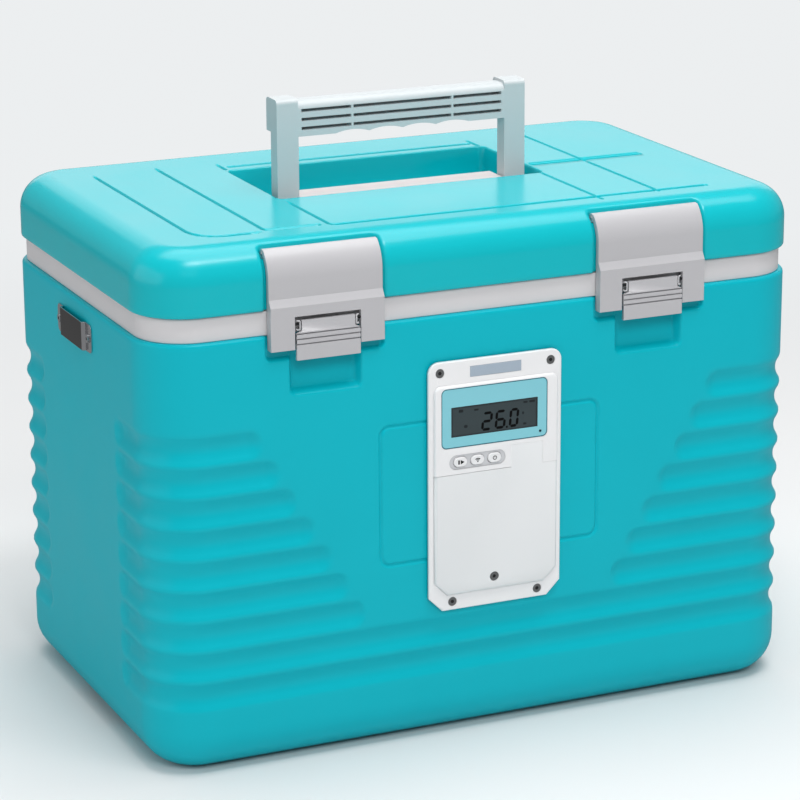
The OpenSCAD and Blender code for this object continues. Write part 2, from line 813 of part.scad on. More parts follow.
// Key that stands proud of the housing and stops short of the circuit board by its travel
module key(i) {
    back = board_front - button_travel - 0.5;
    color([0.95, 0.95, 0.95])
        toward_front(back, back - raise_front + button_proud)
            translate([button_x(i), button_z]) stadium(button_w, button_h);
}

module start_button() {
    key(0);
}

module signal_button() {
    key(1);
}

module power_button() {
    key(2);
}

module status_lamp() {
    color([0.15, 0.25, 0.3])
        rod_y(lamp_x, lamp_z, raise_front + window_sink + 0.1, board_front, lamp_r);
}

module circuit_board() {
    color([0.1, 0.42, 0.22])
        toward_front(board_front + board_t, board_t)
            translate([0, board_z0 + board_h / 2]) square([board_w, board_h], center = true);
}

module battery_pack() {
    color([0.2, 0.3, 0.55])
        toward_front(box_back - 1, battery_d)
            translate([0, bay_z0 + box_gap + box_wall + 0.3 + battery_h / 2])
                square([battery_w, battery_h], center = true);
}

module battery_cover() {
    color([0.9, 0.91, 0.92]) difference() {
        toward_front(flange_front, cover_depth) cover_outline(0);
        rod_y(0, cover_screw_z, raise_front - cut, flange_front + cut, screw_r + run_gap);
        rod_y(0, cover_screw_z, raise_front - cut, raise_front + screw_head_t, screw_head_r + 0.2);
    }
}

module battery_cover_screw() {
    color([0.4, 0.4, 0.42])
        translate([0, raise_front + 0.2, cover_screw_z]) rotate([90, 0, 0])
            screw(screw_r, screw_head_r, screw_head_t - 0.2, flange_t + raise_t - 0.4);
}

module housing_screws() {
    color([0.4, 0.4, 0.42])
        housing_screw_places() translate([0, flange_front + 0.2, 0]) rotate([90, 0, 0])
            screw(screw_r, screw_head_r, screw_head_t - 0.2, screw_l - 0.5);
}

module temperature_probe() {
    color([0.78, 0.79, 0.8]) {
        rod_y(0, probe_z, face_y + bay_depth - probe_nut_t - 1.5, -chamber_d / 2 + probe_reach, probe_r);
        rod_y(0, probe_z, face_y + bay_depth - probe_nut_t, face_y + bay_depth, probe_nut_r);
    }
}

// Strap loops

// Section of the bent steel strip in Y-X, the tub's face on X = 0
module loop_section() {
    slope = loop_gap * 0.6;
    polygon([
        [-loop_l / 2, 0], [-bridge_l / 2 - slope, 0], [-bridge_l / 2, loop_gap],
        [bridge_l / 2, loop_gap], [bridge_l / 2 + slope, 0], [loop_l / 2, 0],
        [loop_l / 2, loop_t], [bridge_l / 2 + slope + loop_t * 0.6, loop_t],
        [bridge_l / 2 + loop_t * 0.6, loop_gap + loop_t], [-bridge_l / 2 - loop_t * 0.6, loop_gap + loop_t],
        [-bridge_l / 2 - slope - loop_t * 0.6, loop_t], [-loop_l / 2, loop_t]
    ]);
}

module strap_loop(side) {
    color([0.72, 0.73, 0.75]) difference() {
        translate([side * loop_face, 0, loop_z]) rotate(side > 0 ? -90 : 90)
            linear_extrude(loop_h, center = true) loop_section();
        for (sy = [-1, 1])
            rod_x(side * loop_face, sy * loop_screw_y, loop_z, 4 * loop_t, loop_screw_r + run_gap);
    }
}

module strap_loop_left() {
    strap_loop(-1);
}

module strap_loop_right() {
    strap_loop(1);
}

module strap_loop_screws() {
    color([0.6, 0.6, 0.62])
        for (side = [-1, 1])
            for (sy = [-1, 1])
                translate([side * (loop_face + loop_t + loop_head_t), sy * loop_screw_y, loop_z])
                    rotate([0, side * 90, 0])
                        screw(loop_screw_r, loop_head_r, loop_head_t, loop_t + loop_head_t + 6);
}

// Latches

// Wedge of directions from the shoulder's arc centre, from straight ahead up to an angle
module shoulder_wedge(angle) {
    reach = 60;
    polygon([[0, 0], [-reach, 0], [-reach, reach * tan(min(angle, 45))], [-reach / tan(max(angle, 45)), reach]]);
}

// Y-Z section of the latch's curved upper part between two radii
module latch_arc_section(r_out, r_in) {
    translate([arc_y, arc_z]) intersection() {
        difference() {
            circle(r_out);
            circle(r_in);
        }
        shoulder_wedge(latch_arc);
    }
}

// Y-Z section of the latch's flat lower part, its inner face at two depths
module latch_lower_section(upper_back, back) {
    polygon([
        [plate_front, arc_z], [plate_front, bevel_z1], [lower_front, bevel_z0], [lower_front, latch_z0],
        [back, latch_z0], [back, min(bevel_z0, bevel_z1 - 3.5)], [upper_back, bevel_z1 - 1.7], [upper_back, arc_z]
    ]);
}

module latch_plate(side) {
    color([0.79, 0.79, 0.8]) at_latch(side) difference() {
        union() {
            along_x(latch_w) {
                latch_arc_section(latch_out_r, latch_in_r);
                latch_lower_section(arc_y - latch_in_r, lower_back);
            }
            for (sx = [-1, 1])
                translate([sx * (latch_w - latch_flange_t) / 2, 0, 0]) along_x(latch_flange_t) {
                    latch_arc_section(latch_out_r, flange_in_r);
                    latch_lower_section(flange_back_y, flange_back_y);
                }
            rod_x(0, pivot_y, pivot_z, latch_w, latch_barrel_r);
        }
        rod_x(0, pivot_y, pivot_z, latch_w + 2 * cut, latch_pin_r + run_gap);
        translate([-tab_w / 2 - tab_gap, tab_front, latch_z0 - cut])
            cube([tab_w + 2 * tab_gap, lower_back - tab_front + cut, tab_window_z1 - latch_z0 + cut]);
        rod_x(0, tab_pin_y, tab_pin_z, tab_w + 2 * tab_gap + 6, tab_pin_r);
    }
}

module release_tab(side) {
    color([0.8, 0.8, 0.81]) at_latch(side) difference() {
        union() {
            translate([-tab_w / 2, tab_front, tab_z0]) cube([tab_w, tab_t, tab_neck_z - tab_z0]);
            translate([-tab_neck_w / 2, tab_front, tab_neck_z - cut])
                cube([tab_neck_w, tab_t, tab_top - tab_neck_z + cut]);
            rod_x(0, tab_pin_y, tab_pin_z, tab_neck_w, tab_barrel_r);
            translate([-hook_w / 2, tab_front + tab_t - cut, hook_z0])
                cube([hook_w, keeper_front - hook_miss - tab_front - tab_t + cut, hook_t]);
        }
        rod_x(0, tab_pin_y, tab_pin_z, tab_w, tab_pin_r + run_gap);
        for (i = [0 : ridge_count - 1])
            translate([-tab_w / 2 - cut, tab_front - cut, ridge_z0 + i * ridge_pitch])
                cube([tab_w + 2 * cut, cut + ridge_depth, ridge_h]);
    }
}

module release_pin(side) {
    color([0.85, 0.85, 0.87]) at_latch(side)
        rod_x(0, tab_pin_y, tab_pin_z, tab_w + 2 * tab_gap + 6, tab_pin_r);
}

// Coil bodies of the two return springs, one at each end of the tab's neck
module release_springs(side) {
    room = (tab_w - tab_neck_w) / 2;
    color([0.88, 0.88, 0.9]) at_latch(side)
        for (sx = [-1, 1])
            difference() {
                rod_x(sx * (tab_neck_w + room) / 2, tab_pin_y, tab_pin_z, room - 0.6, tab_pin_r + spring_t + 0.1);
                rod_x(sx * (tab_neck_w + room) / 2, tab_pin_y, tab_pin_z, room + cut, tab_pin_r + 0.1);
            }
}

module latch_pin(side) {
    color([0.7, 0.7, 0.72]) at_latch(side)
        rod_x(0, pivot_y, pivot_z, recess_w + 2 * pin_grip, latch_pin_r);
}

module latch_plate_left() {
    latch_plate(-1);
}

module latch_plate_right() {
    latch_plate(1);
}

module release_tab_left() {
    release_tab(-1);
}

module release_tab_right() {
    release_tab(1);
}

module release_pin_left() {
    release_pin(-1);
}

module release_pin_right() {
    release_pin(1);
}

module release_springs_left() {
    release_springs(-1);
}

module release_springs_right() {
    release_springs(1);
}

module latch_pin_left() {
    latch_pin(-1);
}

module latch_pin_right() {
    latch_pin(1);
}

module latch_keeper(side) {
    color([0.75, 0.76, 0.78]) at_latch(side) difference() {
        union() {
            translate([-keeper_w / 2, tub_recess_y - keeper_t, keeper_z0]) cube([keeper_w, keeper_t, keeper_h]);
            translate([-hook_w / 2, keeper_front, keeper_lip_z])
                cube([hook_w, tub_recess_y - keeper_front, keeper_lip_t]);
        }
        for (sx = [-1, 1])
            rod_y(
                sx * keeper_screw_x, keeper_screw_z, tub_recess_y - keeper_t - cut, tub_recess_y + cut,
                keeper_screw_r + run_gap
            );
    }
}

module latch_keeper_left() {
    latch_keeper(-1);
}

module latch_keeper_right() {
    latch_keeper(1);
}

module keeper_screws() {
    color([0.5, 0.5, 0.52])
        for (side = [-1, 1])
            at_latch(side)
                for (sx = [-1, 1])
                    translate([sx * keeper_screw_x, tub_recess_y - keeper_t - keeper_head_t, keeper_screw_z])
                        rotate([90, 0, 0])
                            screw(
                                keeper_screw_r, keeper_head_r, keeper_head_t,
                                keeper_screw_l + keeper_t + keeper_head_t - foam_gap
                            );
}

// Rear hinges

function hinge_screw_x() = hinge_w / 2 - hinge_screw_side;
function base_screw_heights() = [leaf_z0 + low_screw_rise, leaf_z0 + high_screw_rise];
function leaf_screw_z() = (lid_leaf_z0 + lid_leaf_z1) / 2;

module hinge_base(side) {
    end_w = (hinge_w - mid_knuckle_w) / 2 - knuckle_gap;
    color([0.78, 0.78, 0.79]) translate([side * hinge_x, 0, 0]) difference() {
        union() {
            translate([-hinge_w / 2, leaf_floor, leaf_z0]) cube([hinge_w, leaf_t, leaf_h]);
            for (sx = [-1, 1]) {
                translate([sx * (hinge_w - end_w) / 2 - end_w / 2, web_y0, leaf_z1 - 12])
                    cube([end_w, web_y1 - web_y0, hinge_z - leaf_z1 + 12]);
                rod_x(sx * (hinge_w - end_w) / 2, hinge_y, hinge_z, end_w, knuckle_r);
            }
        }
        rod_x(0, hinge_y, hinge_z, hinge_w + 2 * cut, hinge_pin_r);
        for (sx = [-1, 1])
            for (z = base_screw_heights())
                rod_y(sx * hinge_screw_x(), z, leaf_floor - cut, body_d / 2 + cut, hinge_screw_r + run_gap);
    }
}

module hinge_leaf(side) {
    color([0.78, 0.78, 0.79]) translate([side * hinge_x, 0, 0]) difference() {
        union() {
            translate([-hinge_w / 2, lid_leaf_floor, lid_leaf_z0])
                cube([hinge_w, leaf_t, lid_leaf_z1 - lid_leaf_z0]);
            translate([-mid_knuckle_w / 2, web_y0, hinge_z])
                cube([mid_knuckle_w, web_y1 - web_y0, lid_leaf_z0 + 4 - hinge_z]);
            rod_x(0, hinge_y, hinge_z, mid_knuckle_w, knuckle_r);
        }
        rod_x(0, hinge_y, hinge_z, hinge_w, hinge_pin_r + run_gap);
        for (sx = [-1, 1])
            rod_y(sx * hinge_screw_x(), leaf_screw_z(), lid_leaf_floor - cut, body_d / 2 + cut, hinge_screw_r + run_gap);
    }
}

module hinge_base_left() {
    hinge_base(-1);
}

module hinge_base_right() {
    hinge_base(1);
}

module hinge_leaf_left() {
    hinge_leaf(-1);
}

module hinge_leaf_right() {
    hinge_leaf(1);
}

module hinge_pins() {
    color([0.7, 0.7, 0.72])
        for (side = [-1, 1]) rod_x(side * hinge_x, hinge_y, hinge_z, hinge_w, hinge_pin_r);
}

// Screw that holds a hinge leaf, its head on the leaf's outer face
module hinge_screw(floor_y) {
    translate([0, floor_y + leaf_t + 1.2, 0]) rotate([-90, 0, 0])
        screw(hinge_screw_r, hinge_screw_head_r, 1.2, hinge_screw_l);
}

module hinge_base_screws() {
    color([0.5, 0.5, 0.52])
        for (side = [-1, 1])
            for (sx = [-1, 1])
                for (z = base_screw_heights())
                    translate([side * hinge_x + sx * hinge_screw_x(), 0, z]) hinge_screw(leaf_floor);
}

module hinge_leaf_screws() {
    color([0.5, 0.5, 0.52])
        for (side = [-1, 1])
            for (sx = [-1, 1])
                translate([side * hinge_x + sx * hinge_screw_x(), 0, leaf_screw_z()]) hinge_screw(lid_leaf_floor);
}

// Lid

// Blocks inside the lid's skin round the well and behind the latches and hinges, grown by g
module lid_bosses(g) {
    well_d = well_front + well_back;
    translate([-well_w / 2 - well_skin - g, -well_front - well_skin - g, well_floor - well_skin - g])
        cube([well_w + 2 * (well_skin + g), well_d + 2 * (well_skin + g), lid_top - well_floor + well_skin]);
    for (side = [-1, 1]) {
        at_latch(side) translate([-recess_w / 2 - pin_grip - 2 - g, face_y, lid_z0 - cut])
            cube([recess_w + 2 * (pin_grip + 2 + g), lid_edge_r - 6 + g, lid_h + cut]);
        translate([side * hinge_x - hinge_recess_w / 2 - 4 - g, body_d / 2 - 13 - g, lid_z0 - cut])
            cube([hinge_recess_w + 8 + 2 * g, 13 + g, lid_h + cut]);
    }
}

// Space inside the lid's skin, drawn in by g
module lid_inside(g) {
    t = skin_t + g;
    translate([0, 0, lid_top - t])
        soft_block_down(body_w - 2 * t, body_d - 2 * t, lid_h - t + cut, plan_r - t, lid_edge_r - t);
}

// Recess in the lid's front that holds a latch, with room for its pivot barrel
module lid_latch_recess() {
    along_x(recess_w) {
        translate([arc_y, arc_z]) difference() {
            intersection() {
                circle(recess_r + recess_reach);
                shoulder_wedge(recess_arc);
            }
            circle(recess_r);
        }
        translate([arc_y - recess_r - recess_reach, lid_z0 - cut]) square([recess_reach, arc_z - lid_z0 + cut]);
    }
    rod_x(0, pivot_y, pivot_z, recess_w, latch_barrel_r + pivot_room);
}

module lid_shell() {
    color([0.0, 0.68, 0.74]) difference() {
        translate([0, 0, lid_top]) soft_block_down(body_w, body_d, lid_h, plan_r, lid_edge_r);
        difference() {
            lid_inside(0);
            lid_bosses(0);
        }
        translate([0, (well_back - well_front) / 2, well_floor]) linear_extrude(well_depth + cut)
            round_rect(well_w, well_front + well_back, well_r);
        for (side = [-1, 1]) {
            at_latch(side) {
                lid_latch_recess();
                rod_x(0, pivot_y, pivot_z, recess_w + 2 * pin_grip, latch_pin_r);
            }
            translate([side * hinge_x - hinge_recess_w / 2, lid_leaf_floor, lid_z0 - cut])
                cube([hinge_recess_w, recess_depth + cut, arc_z - lid_z0 + cut]);
            for (sx = [-1, 1])
                rod_y(
                    side * hinge_x + sx * hinge_screw_x(), leaf_screw_z(), lid_leaf_floor - 5, lid_leaf_floor + cut,
                    hinge_screw_r
                );
        }
    }
}

module lid_foam() {
    color([0.93, 0.89, 0.72]) difference() {
        union() {
            intersection() {
                lid_inside(foam_gap);
                translate([-body_w, -body_d, lid_z0 + lid_liner_t + foam_gap])
                    cube([2 * body_w, 2 * body_d, lid_h]);
            }
            translate([0, 0, lid_z0 - plug_depth + plug_wall + foam_gap])
                linear_extrude(plug_depth + lid_liner_t)
                    round_rect(
                        plug_w - 2 * (plug_wall + foam_gap), plug_d - 2 * (plug_wall + foam_gap),
                        plug_r - plug_wall - foam_gap
                    );
        }
        lid_bosses(foam_gap);
    }
}

module lid_liner() {
    color([0.94, 0.94, 0.93]) difference() {
        union() {
            difference() {
                translate([0, 0, lid_z0]) linear_extrude(lid_liner_t)
                    round_rect(lid_plate_w, lid_plate_d, lid_plate_r);
                lid_bosses(foam_gap);
            }
            translate([0, 0, lid_z0 - plug_depth]) linear_extrude(plug_depth + lid_liner_t)
                round_rect(plug_w, plug_d, plug_r);
        }
        translate([0, 0, lid_z0 - plug_depth + plug_wall]) linear_extrude(plug_depth + lid_liner_t)
            round_rect(plug_w - 2 * plug_wall, plug_d - 2 * plug_wall, plug_r - plug_wall);
        translate([0, 0, lid_z0 - cut]) linear_extrude(cut + seal_t) seal_ring();
    }
}

// Path of the seal, seen from below
module seal_ring() {
    difference() {
        round_rect(seal_mid_w + seal_w, seal_mid_d + seal_w, chamber_r + seal_w);
        round_rect(seal_mid_w - seal_w, seal_mid_d - seal_w, chamber_r);
    }
}

module lid_seal() {
    color([0.3, 0.3, 0.31])
        translate([0, 0, band_z1 + seal_air]) linear_extrude(lid_z0 + seal_t - band_z1 - seal_air) seal_ring();
}

// Handle

module handle_seat() {
    color([0.88, 0.84, 0.84]) difference() {
        translate([-seat_w / 2, -well_front + 0.5, well_floor])
            cube([seat_w, well_front + seat_back - 0.5, seat_top - well_floor]);
        rod_x(0, hpin_y, hpin_z, seat_w + 2 * cut, handle_pin_r);
    }
}

module handle_pins() {
    color([0.7, 0.7, 0.72]) rod_x(0, hpin_y, hpin_z, handle_w - 2, handle_pin_r);
}

// Y-Z section of the grip with its rounded top
module grip_section() {
    translate([handle_front, grip_z0]) {
        square([grip_d, grip_h - grip_r]);
        translate([grip_r, 0]) square([grip_d - 2 * grip_r, grip_h]);
        for (y = [grip_r, grip_d - grip_r]) translate([y, grip_h - grip_r]) circle(grip_r);
    }
}

// Y-Z section of a leg, round about its pin
module leg_section() {
    translate([handle_front, hpin_z]) square([leg_d, grip_z0 - hpin_z + 4]);
    translate([hpin_y, hpin_z]) circle(leg_d / 2);
}

// Y-Z section of the head on top of a leg
module head_section() {
    translate([handle_front, grip_z0 + grip_h * 0.12]) {
        square([grip_d, grip_h * 0.88 + head_rise - head_r]);
        translate([head_r, 0]) square([grip_d - 2 * head_r, grip_h * 0.88 + head_rise]);
        for (y = [head_r, grip_d - head_r])
            translate([y, grip_h * 0.88 + head_rise - head_r]) circle(head_r);
    }
}

module carry_handle() {
    scallop_r = (pow(scallop_w / 2, 2) + pow(scallop_depth, 2)) / (2 * scallop_depth);
    slot_len = leg_inner - slot_margin;
    color([0.78, 0.83, 0.85]) difference() {
        union() {
            along_x(2 * leg_inner + 2) grip_section();
            for (sx = [-1, 1])
                translate([sx * (handle_w - leg_w) / 2, 0, 0]) {
                    along_x(leg_w) {
                        leg_section();
                        head_section();
                    }
                }
        }
        intersection() {
            for (i = [0 : scallop_count - 1])
                translate([(i - (scallop_count - 1) / 2) * scallop_w, 0, grip_z0 + scallop_depth - scallop_r])
                    rotate([90, 0, 0]) cylinder(r = scallop_r, h = 4 * grip_d, center = true);
            translate([-scallop_count * scallop_w / 2, -grip_d, grip_z0 - cut])
                cube([scallop_count * scallop_w, 3 * grip_d, scallop_depth + 2 * cut]);
        }
        for (row = [0 : slot_rows - 1])
            translate([0, handle_front - cut, slot_z0 - row * slot_pitch - slot_h / 2]) {
                translate([-slot_bridge_x + slot_bridge / 2, 0, 0])
                    cube([2 * slot_bridge_x - slot_bridge, slot_depth + cut, slot_h]);
                for (sx = [-1, 1])
                    translate([sx > 0 ? slot_bridge_x + slot_bridge / 2 : -slot_len, 0, 0])
                        cube([slot_len - slot_bridge_x - slot_bridge / 2, slot_depth + cut, slot_h]);
            }
        rod_x(0, hpin_y, hpin_z, handle_w + 2 * cut, handle_pin_r + run_gap);
    }
}

tub_shell();
tub_foam();
inner_liner();
rim_collar();
display_gasket();
display_housing();
display_window();
lcd_screen();
nameplate();
keypad_surround();
status_lamp();
circuit_board();
battery_pack();
battery_cover();
battery_cover_screw();
housing_screws();
temperature_probe();
start_button();
signal_button();
power_button();
strap_loop_left();
strap_loop_right();
strap_loop_screws();
latch_keeper_left();
latch_keeper_right();
keeper_screws();
hinge_base_left();
hinge_base_right();
hinge_base_screws();
hinge_pins();
lid_shell();
lid_foam();
lid_liner();
lid_seal();
handle_seat();
handle_pins();
hinge_leaf_left();
hinge_leaf_right();
hinge_leaf_screws();
latch_pin_left();
latch_pin_right();
carry_handle();
latch_plate_left();
release_pin_left();
release_springs_left();
release_tab_left();
latch_plate_right();
release_pin_right();
release_springs_right();
release_tab_right();
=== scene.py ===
import math

import bmesh
import bpy
import numpy as np
from mathutils import Matrix, Vector


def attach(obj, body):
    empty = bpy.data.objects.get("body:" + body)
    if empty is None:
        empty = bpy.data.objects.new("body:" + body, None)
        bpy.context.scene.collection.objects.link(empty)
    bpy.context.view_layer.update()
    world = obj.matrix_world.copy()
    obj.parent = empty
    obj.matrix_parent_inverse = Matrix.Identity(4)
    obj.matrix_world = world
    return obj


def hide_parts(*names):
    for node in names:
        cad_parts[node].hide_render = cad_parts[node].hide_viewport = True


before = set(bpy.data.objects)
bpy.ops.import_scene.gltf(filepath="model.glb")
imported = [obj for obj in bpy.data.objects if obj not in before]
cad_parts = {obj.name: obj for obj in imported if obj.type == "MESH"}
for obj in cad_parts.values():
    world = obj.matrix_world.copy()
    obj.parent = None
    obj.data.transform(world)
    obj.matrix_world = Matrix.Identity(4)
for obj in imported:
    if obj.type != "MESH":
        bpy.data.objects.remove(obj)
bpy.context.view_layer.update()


# Camera
# Stands low at the front left, where the box shows its front, its left end and its lid, and looks slightly
# down. Its place, in metres, and its directions were fitted to the box's own edges.
def added(name, data):
    """A new object with the data, linked into the scene."""
    thing = bpy.data.objects.new(name, data)
    bpy.context.scene.collection.objects.link(thing)
    return thing


camera_place = Vector((-0.89512, -2.01592, 0.85279))
camera_right = Vector((0.91329, -0.40727, -0.00536))
camera_up = Vector((0.11967, 0.25573, 0.95931))
camera_axes = Matrix((camera_right, camera_up, camera_right.cross(camera_up))).transposed()
camera_data = bpy.data.cameras.new("camera")
camera_data.sensor_width = 36
camera_data.lens = 139.01
camera_data.clip_end = 50
camera = added("camera", camera_data)
camera.matrix_world = Matrix.Translation(camera_place) @ camera_axes.to_4x4()
bpy.context.scene.camera = camera

# Tub skin
# Rotationally moulded turquoise polyethylene, in one piece. Its corners are ribbed with nine soft grooves.
# The front is let in for the latches and their finger pockets, and the base has a channel from side to side.
MM = 0.001
WELD = 2e-6
BODY_W, BODY_D, PLAN_R = 500, 312, 40
BASE_R, RIM_Z, RIM_R = 29, 310, 2.5
GROOVE_TOP, GROOVE_PITCH, GROOVES = 235.7, 22.1, 9
GROOVE_R, GROOVE_DEPTH, GROOVE_SOFT, GROOVE_TIP = 14.6, 3.4, 0.7, 9.4
GROOVE_STOP, GROOVE_STEP, END_STOP = 172, 12.6, 80
ENGRAVED_FRAME = (-84, 84, 134.8, 235.5, 7)
LATCH_X, LATCH_ROOM, LATCH_SILL = 123.8, 43.2, 293
POCKET_HALF, POCKET_FLOOR_Z, POCKET_DEPTH, POCKET_TILT = 26, 267.5, 6.5, 3
HINGE_X, HINGE_ROOM, HINGE_SILL = 124, 42, 268
ROOM_DEPTH, ROOM_CORNER, ABOVE_RIM = 4, 4, 400
KEY_ROOM, KEY_ROOM_DEPTH = (-40, 14, 194, 217, 2), 1.2
CHANNEL_HALF, CHANNEL_H, CHANNEL_R = 40, 10, 6


def graded(lo, hi, coarse, bands):
    """Positions from lo to hi, coarse apart, and closer inside each band (start, end, step)."""
    stops = sorted({lo, hi} | {min(max(edge, lo), hi) for band in bands for edge in band[:2]})
    places = [lo]
    for start, end in zip(stops, stops[1:]):
        middle = (start + end) / 2
        steps = [band[2] for band in bands if band[0] <= middle <= band[1]] + [coarse]
        count = max(1, math.ceil((end - start) / min(steps) - 1e-6))
        places += [start + (end - start) * i / count for i in range(1, count + 1)]
    return np.array(places)


def mirrored(positions):
    """The same positions on both sides of zero."""
    return np.unique(np.round(np.concatenate([-positions, positions]), 6))


def plan_stations(xs, ys, turns=24):
    """Places round the box's plan, with the outward direction at each, starting at the front left."""
    half_x, half_y = BODY_W / 2 - PLAN_R, BODY_D / 2 - PLAN_R
    places = [(x, -BODY_D / 2, 0, -1) for x in xs]
    corners = [(half_x, -half_y, -90), (half_x, half_y, 0), (-half_x, half_y, 90), (-half_x, -half_y, 180)]
    straights = [
        [(BODY_W / 2, y, 1, 0) for y in ys],
        [(x, BODY_D / 2, 0, 1) for x in xs[::-1]],
        [(-BODY_W / 2, y, -1, 0) for y in ys[::-1]],
        [],
    ]
    for (cx, cy, start), straight in zip(corners, straights):
        for i in range(1, turns):
            angle = math.radians(start + 90 * i / turns)
            out = (math.cos(angle), math.sin(angle))
            places.append((cx + PLAN_R * out[0], cy + PLAN_R * out[1], out[0], out[1]))
        places += straight
    return np.array(places)


def moulded_skin(xs, ys, profile, shape, cap_first):
    """Sweeps a profile of (inset, height, outward, upward, run) round the plan, and closes its first or last
    end with a grid of the lines xs and ys. The shape function moves the points, and may use their run."""
    stations = plan_stations(xs, ys)
    profile = np.array(profile, float)
    count, rows = len(stations), len(profile)
    inset = profile[:, 0][:, None]
    x = stations[:, 0][None] - stations[:, 2][None] * inset
    y = stations[:, 1][None] - stations[:, 3][None] * inset
    z = np.repeat(profile[:, 1][:, None], count, 1)
    out = profile[:, 2][:, None]
    up = np.repeat(profile[:, 3][:, None], count, 1)
    normals = np.stack([stations[:, 2][None] * out, stations[:, 3][None] * out, up], -1).reshape(-1, 3)
    points = np.stack([x, y, z], -1).reshape(-1, 3)
    run = np.repeat(profile[:, 4], count)
    end, facing = (profile[0], -1) if cap_first else (profile[-1], 1)
    grid = np.array([(gx, gy, end[1]) for gy in ys for gx in xs])
    points = np.concatenate([points, grid])
    normals = np.concatenate([normals, np.tile([0.0, 0.0, facing], (len(grid), 1))])
    points = shape(points, normals, np.concatenate([run, np.full(len(grid), end[4])]))
    index = np.arange(rows * count).reshape(rows, count)
    around = np.roll(index, -1, 1)
    faces = np.stack([index[:-1], around[:-1], around[1:], index[1:]], -1).reshape(-1, 4)
    cells = np.arange(len(grid)).reshape(len(ys), len(xs)) + rows * count
    cap = np.stack([cells[:-1, :-1], cells[:-1, 1:], cells[1:, 1:], cells[1:, :-1]], -1).reshape(-1, 4)
    if cap_first:
        cap = cap[:, ::-1]
    return points, np.concatenate([faces, cap])


def placed(mesh, name, body, nodes=()):
    """Puts a finished mesh into the scene as a piece that rides on its body and stands for its CAD nodes."""
    piece = added(name, mesh)
    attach(piece, body)
    if nodes:
        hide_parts(*nodes)
    return piece


def piece_from(name, points, faces, body, nodes=()):
    """Makes a smooth piece from points in millimetres."""
    mesh = bpy.data.meshes.new(name)
    mesh.from_pydata((np.asarray(points) * MM).tolist(), [], [list(map(int, face)) for face in faces])
    form = bmesh.new()
    form.from_mesh(mesh)
    bmesh.ops.remove_doubles(form, verts=form.verts, dist=WELD)
    form.to_mesh(mesh)
    form.free()
    mesh.shade_smooth()
    return placed(mesh, name, body, nodes)


def inside_distance(u, v, u0, u1, v0, v1, radius):
    """Distance inside the outline of a rounded rectangle, negative outside it."""
    du = np.abs(u - (u0 + u1) / 2) - (u1 - u0) / 2 + radius
    dv = np.abs(v - (v0 + v1) / 2) - (v1 - v0) / 2 + radius
    return radius - np.hypot(np.maximum(du, 0), np.maximum(dv, 0)) - np.minimum(np.maximum(du, dv), 0)


def rounded_step(inside, depth, lip, wall):
    """Depth of a let-in place: its lip is rounded outside the outline, its wall reaches the floor inside."""
    over_lip = lip - np.sqrt(np.maximum(lip**2 - np.clip(inside + lip, 0, lip) ** 2, 0))
    down = np.clip(inside / wall, 0, 1)
    return over_lip + (depth - lip) * (1 - (1 - down) ** 2)


def soft_wall(inside, depth, outside, wall):
    """Depth of a place with sloped, soft walls."""
    t = np.clip((inside + outside) / (outside + wall), 0, 1)
    return depth * t * t * (3 - 2 * t)


def cut_line(distance, half_width, wall, depth):
    """Depth of an engraved line with a flat floor between steep walls."""
    t = np.clip((half_width - np.abs(distance)) / wall, 0, 1)
    return depth * t * t * (3 - 2 * t)


def groove_depth(x, y, z, end):
    """Depth of the round grooves, which get longer towards the base on the front and the back."""
    depth = np.zeros(len(x))
    for n in range(GROOVES):
        centre = GROOVE_TOP - n * GROOVE_PITCH
        stop_x = GROOVE_STOP - GROOVE_STEP * n + GROOVE_TIP if n < GROOVES - 2 else -1
        beyond = np.where(end, END_STOP + GROOVE_TIP - np.abs(y), stop_x - np.abs(x))
        reach = np.maximum(beyond, 0) ** 2 + (z - centre) ** 2
        rise = np.sqrt(np.maximum(GROOVE_R**2 - reach, 0)) - (GROOVE_R - GROOVE_DEPTH)
        depth = np.maximum(depth, (rise + np.sqrt(rise**2 + GROOVE_SOFT**2)) / 2 - 0.01)
    depth[(z < BASE_R) | (z > GROOVE_TOP + GROOVE_PITCH + 2.2)] = 0
    return depth


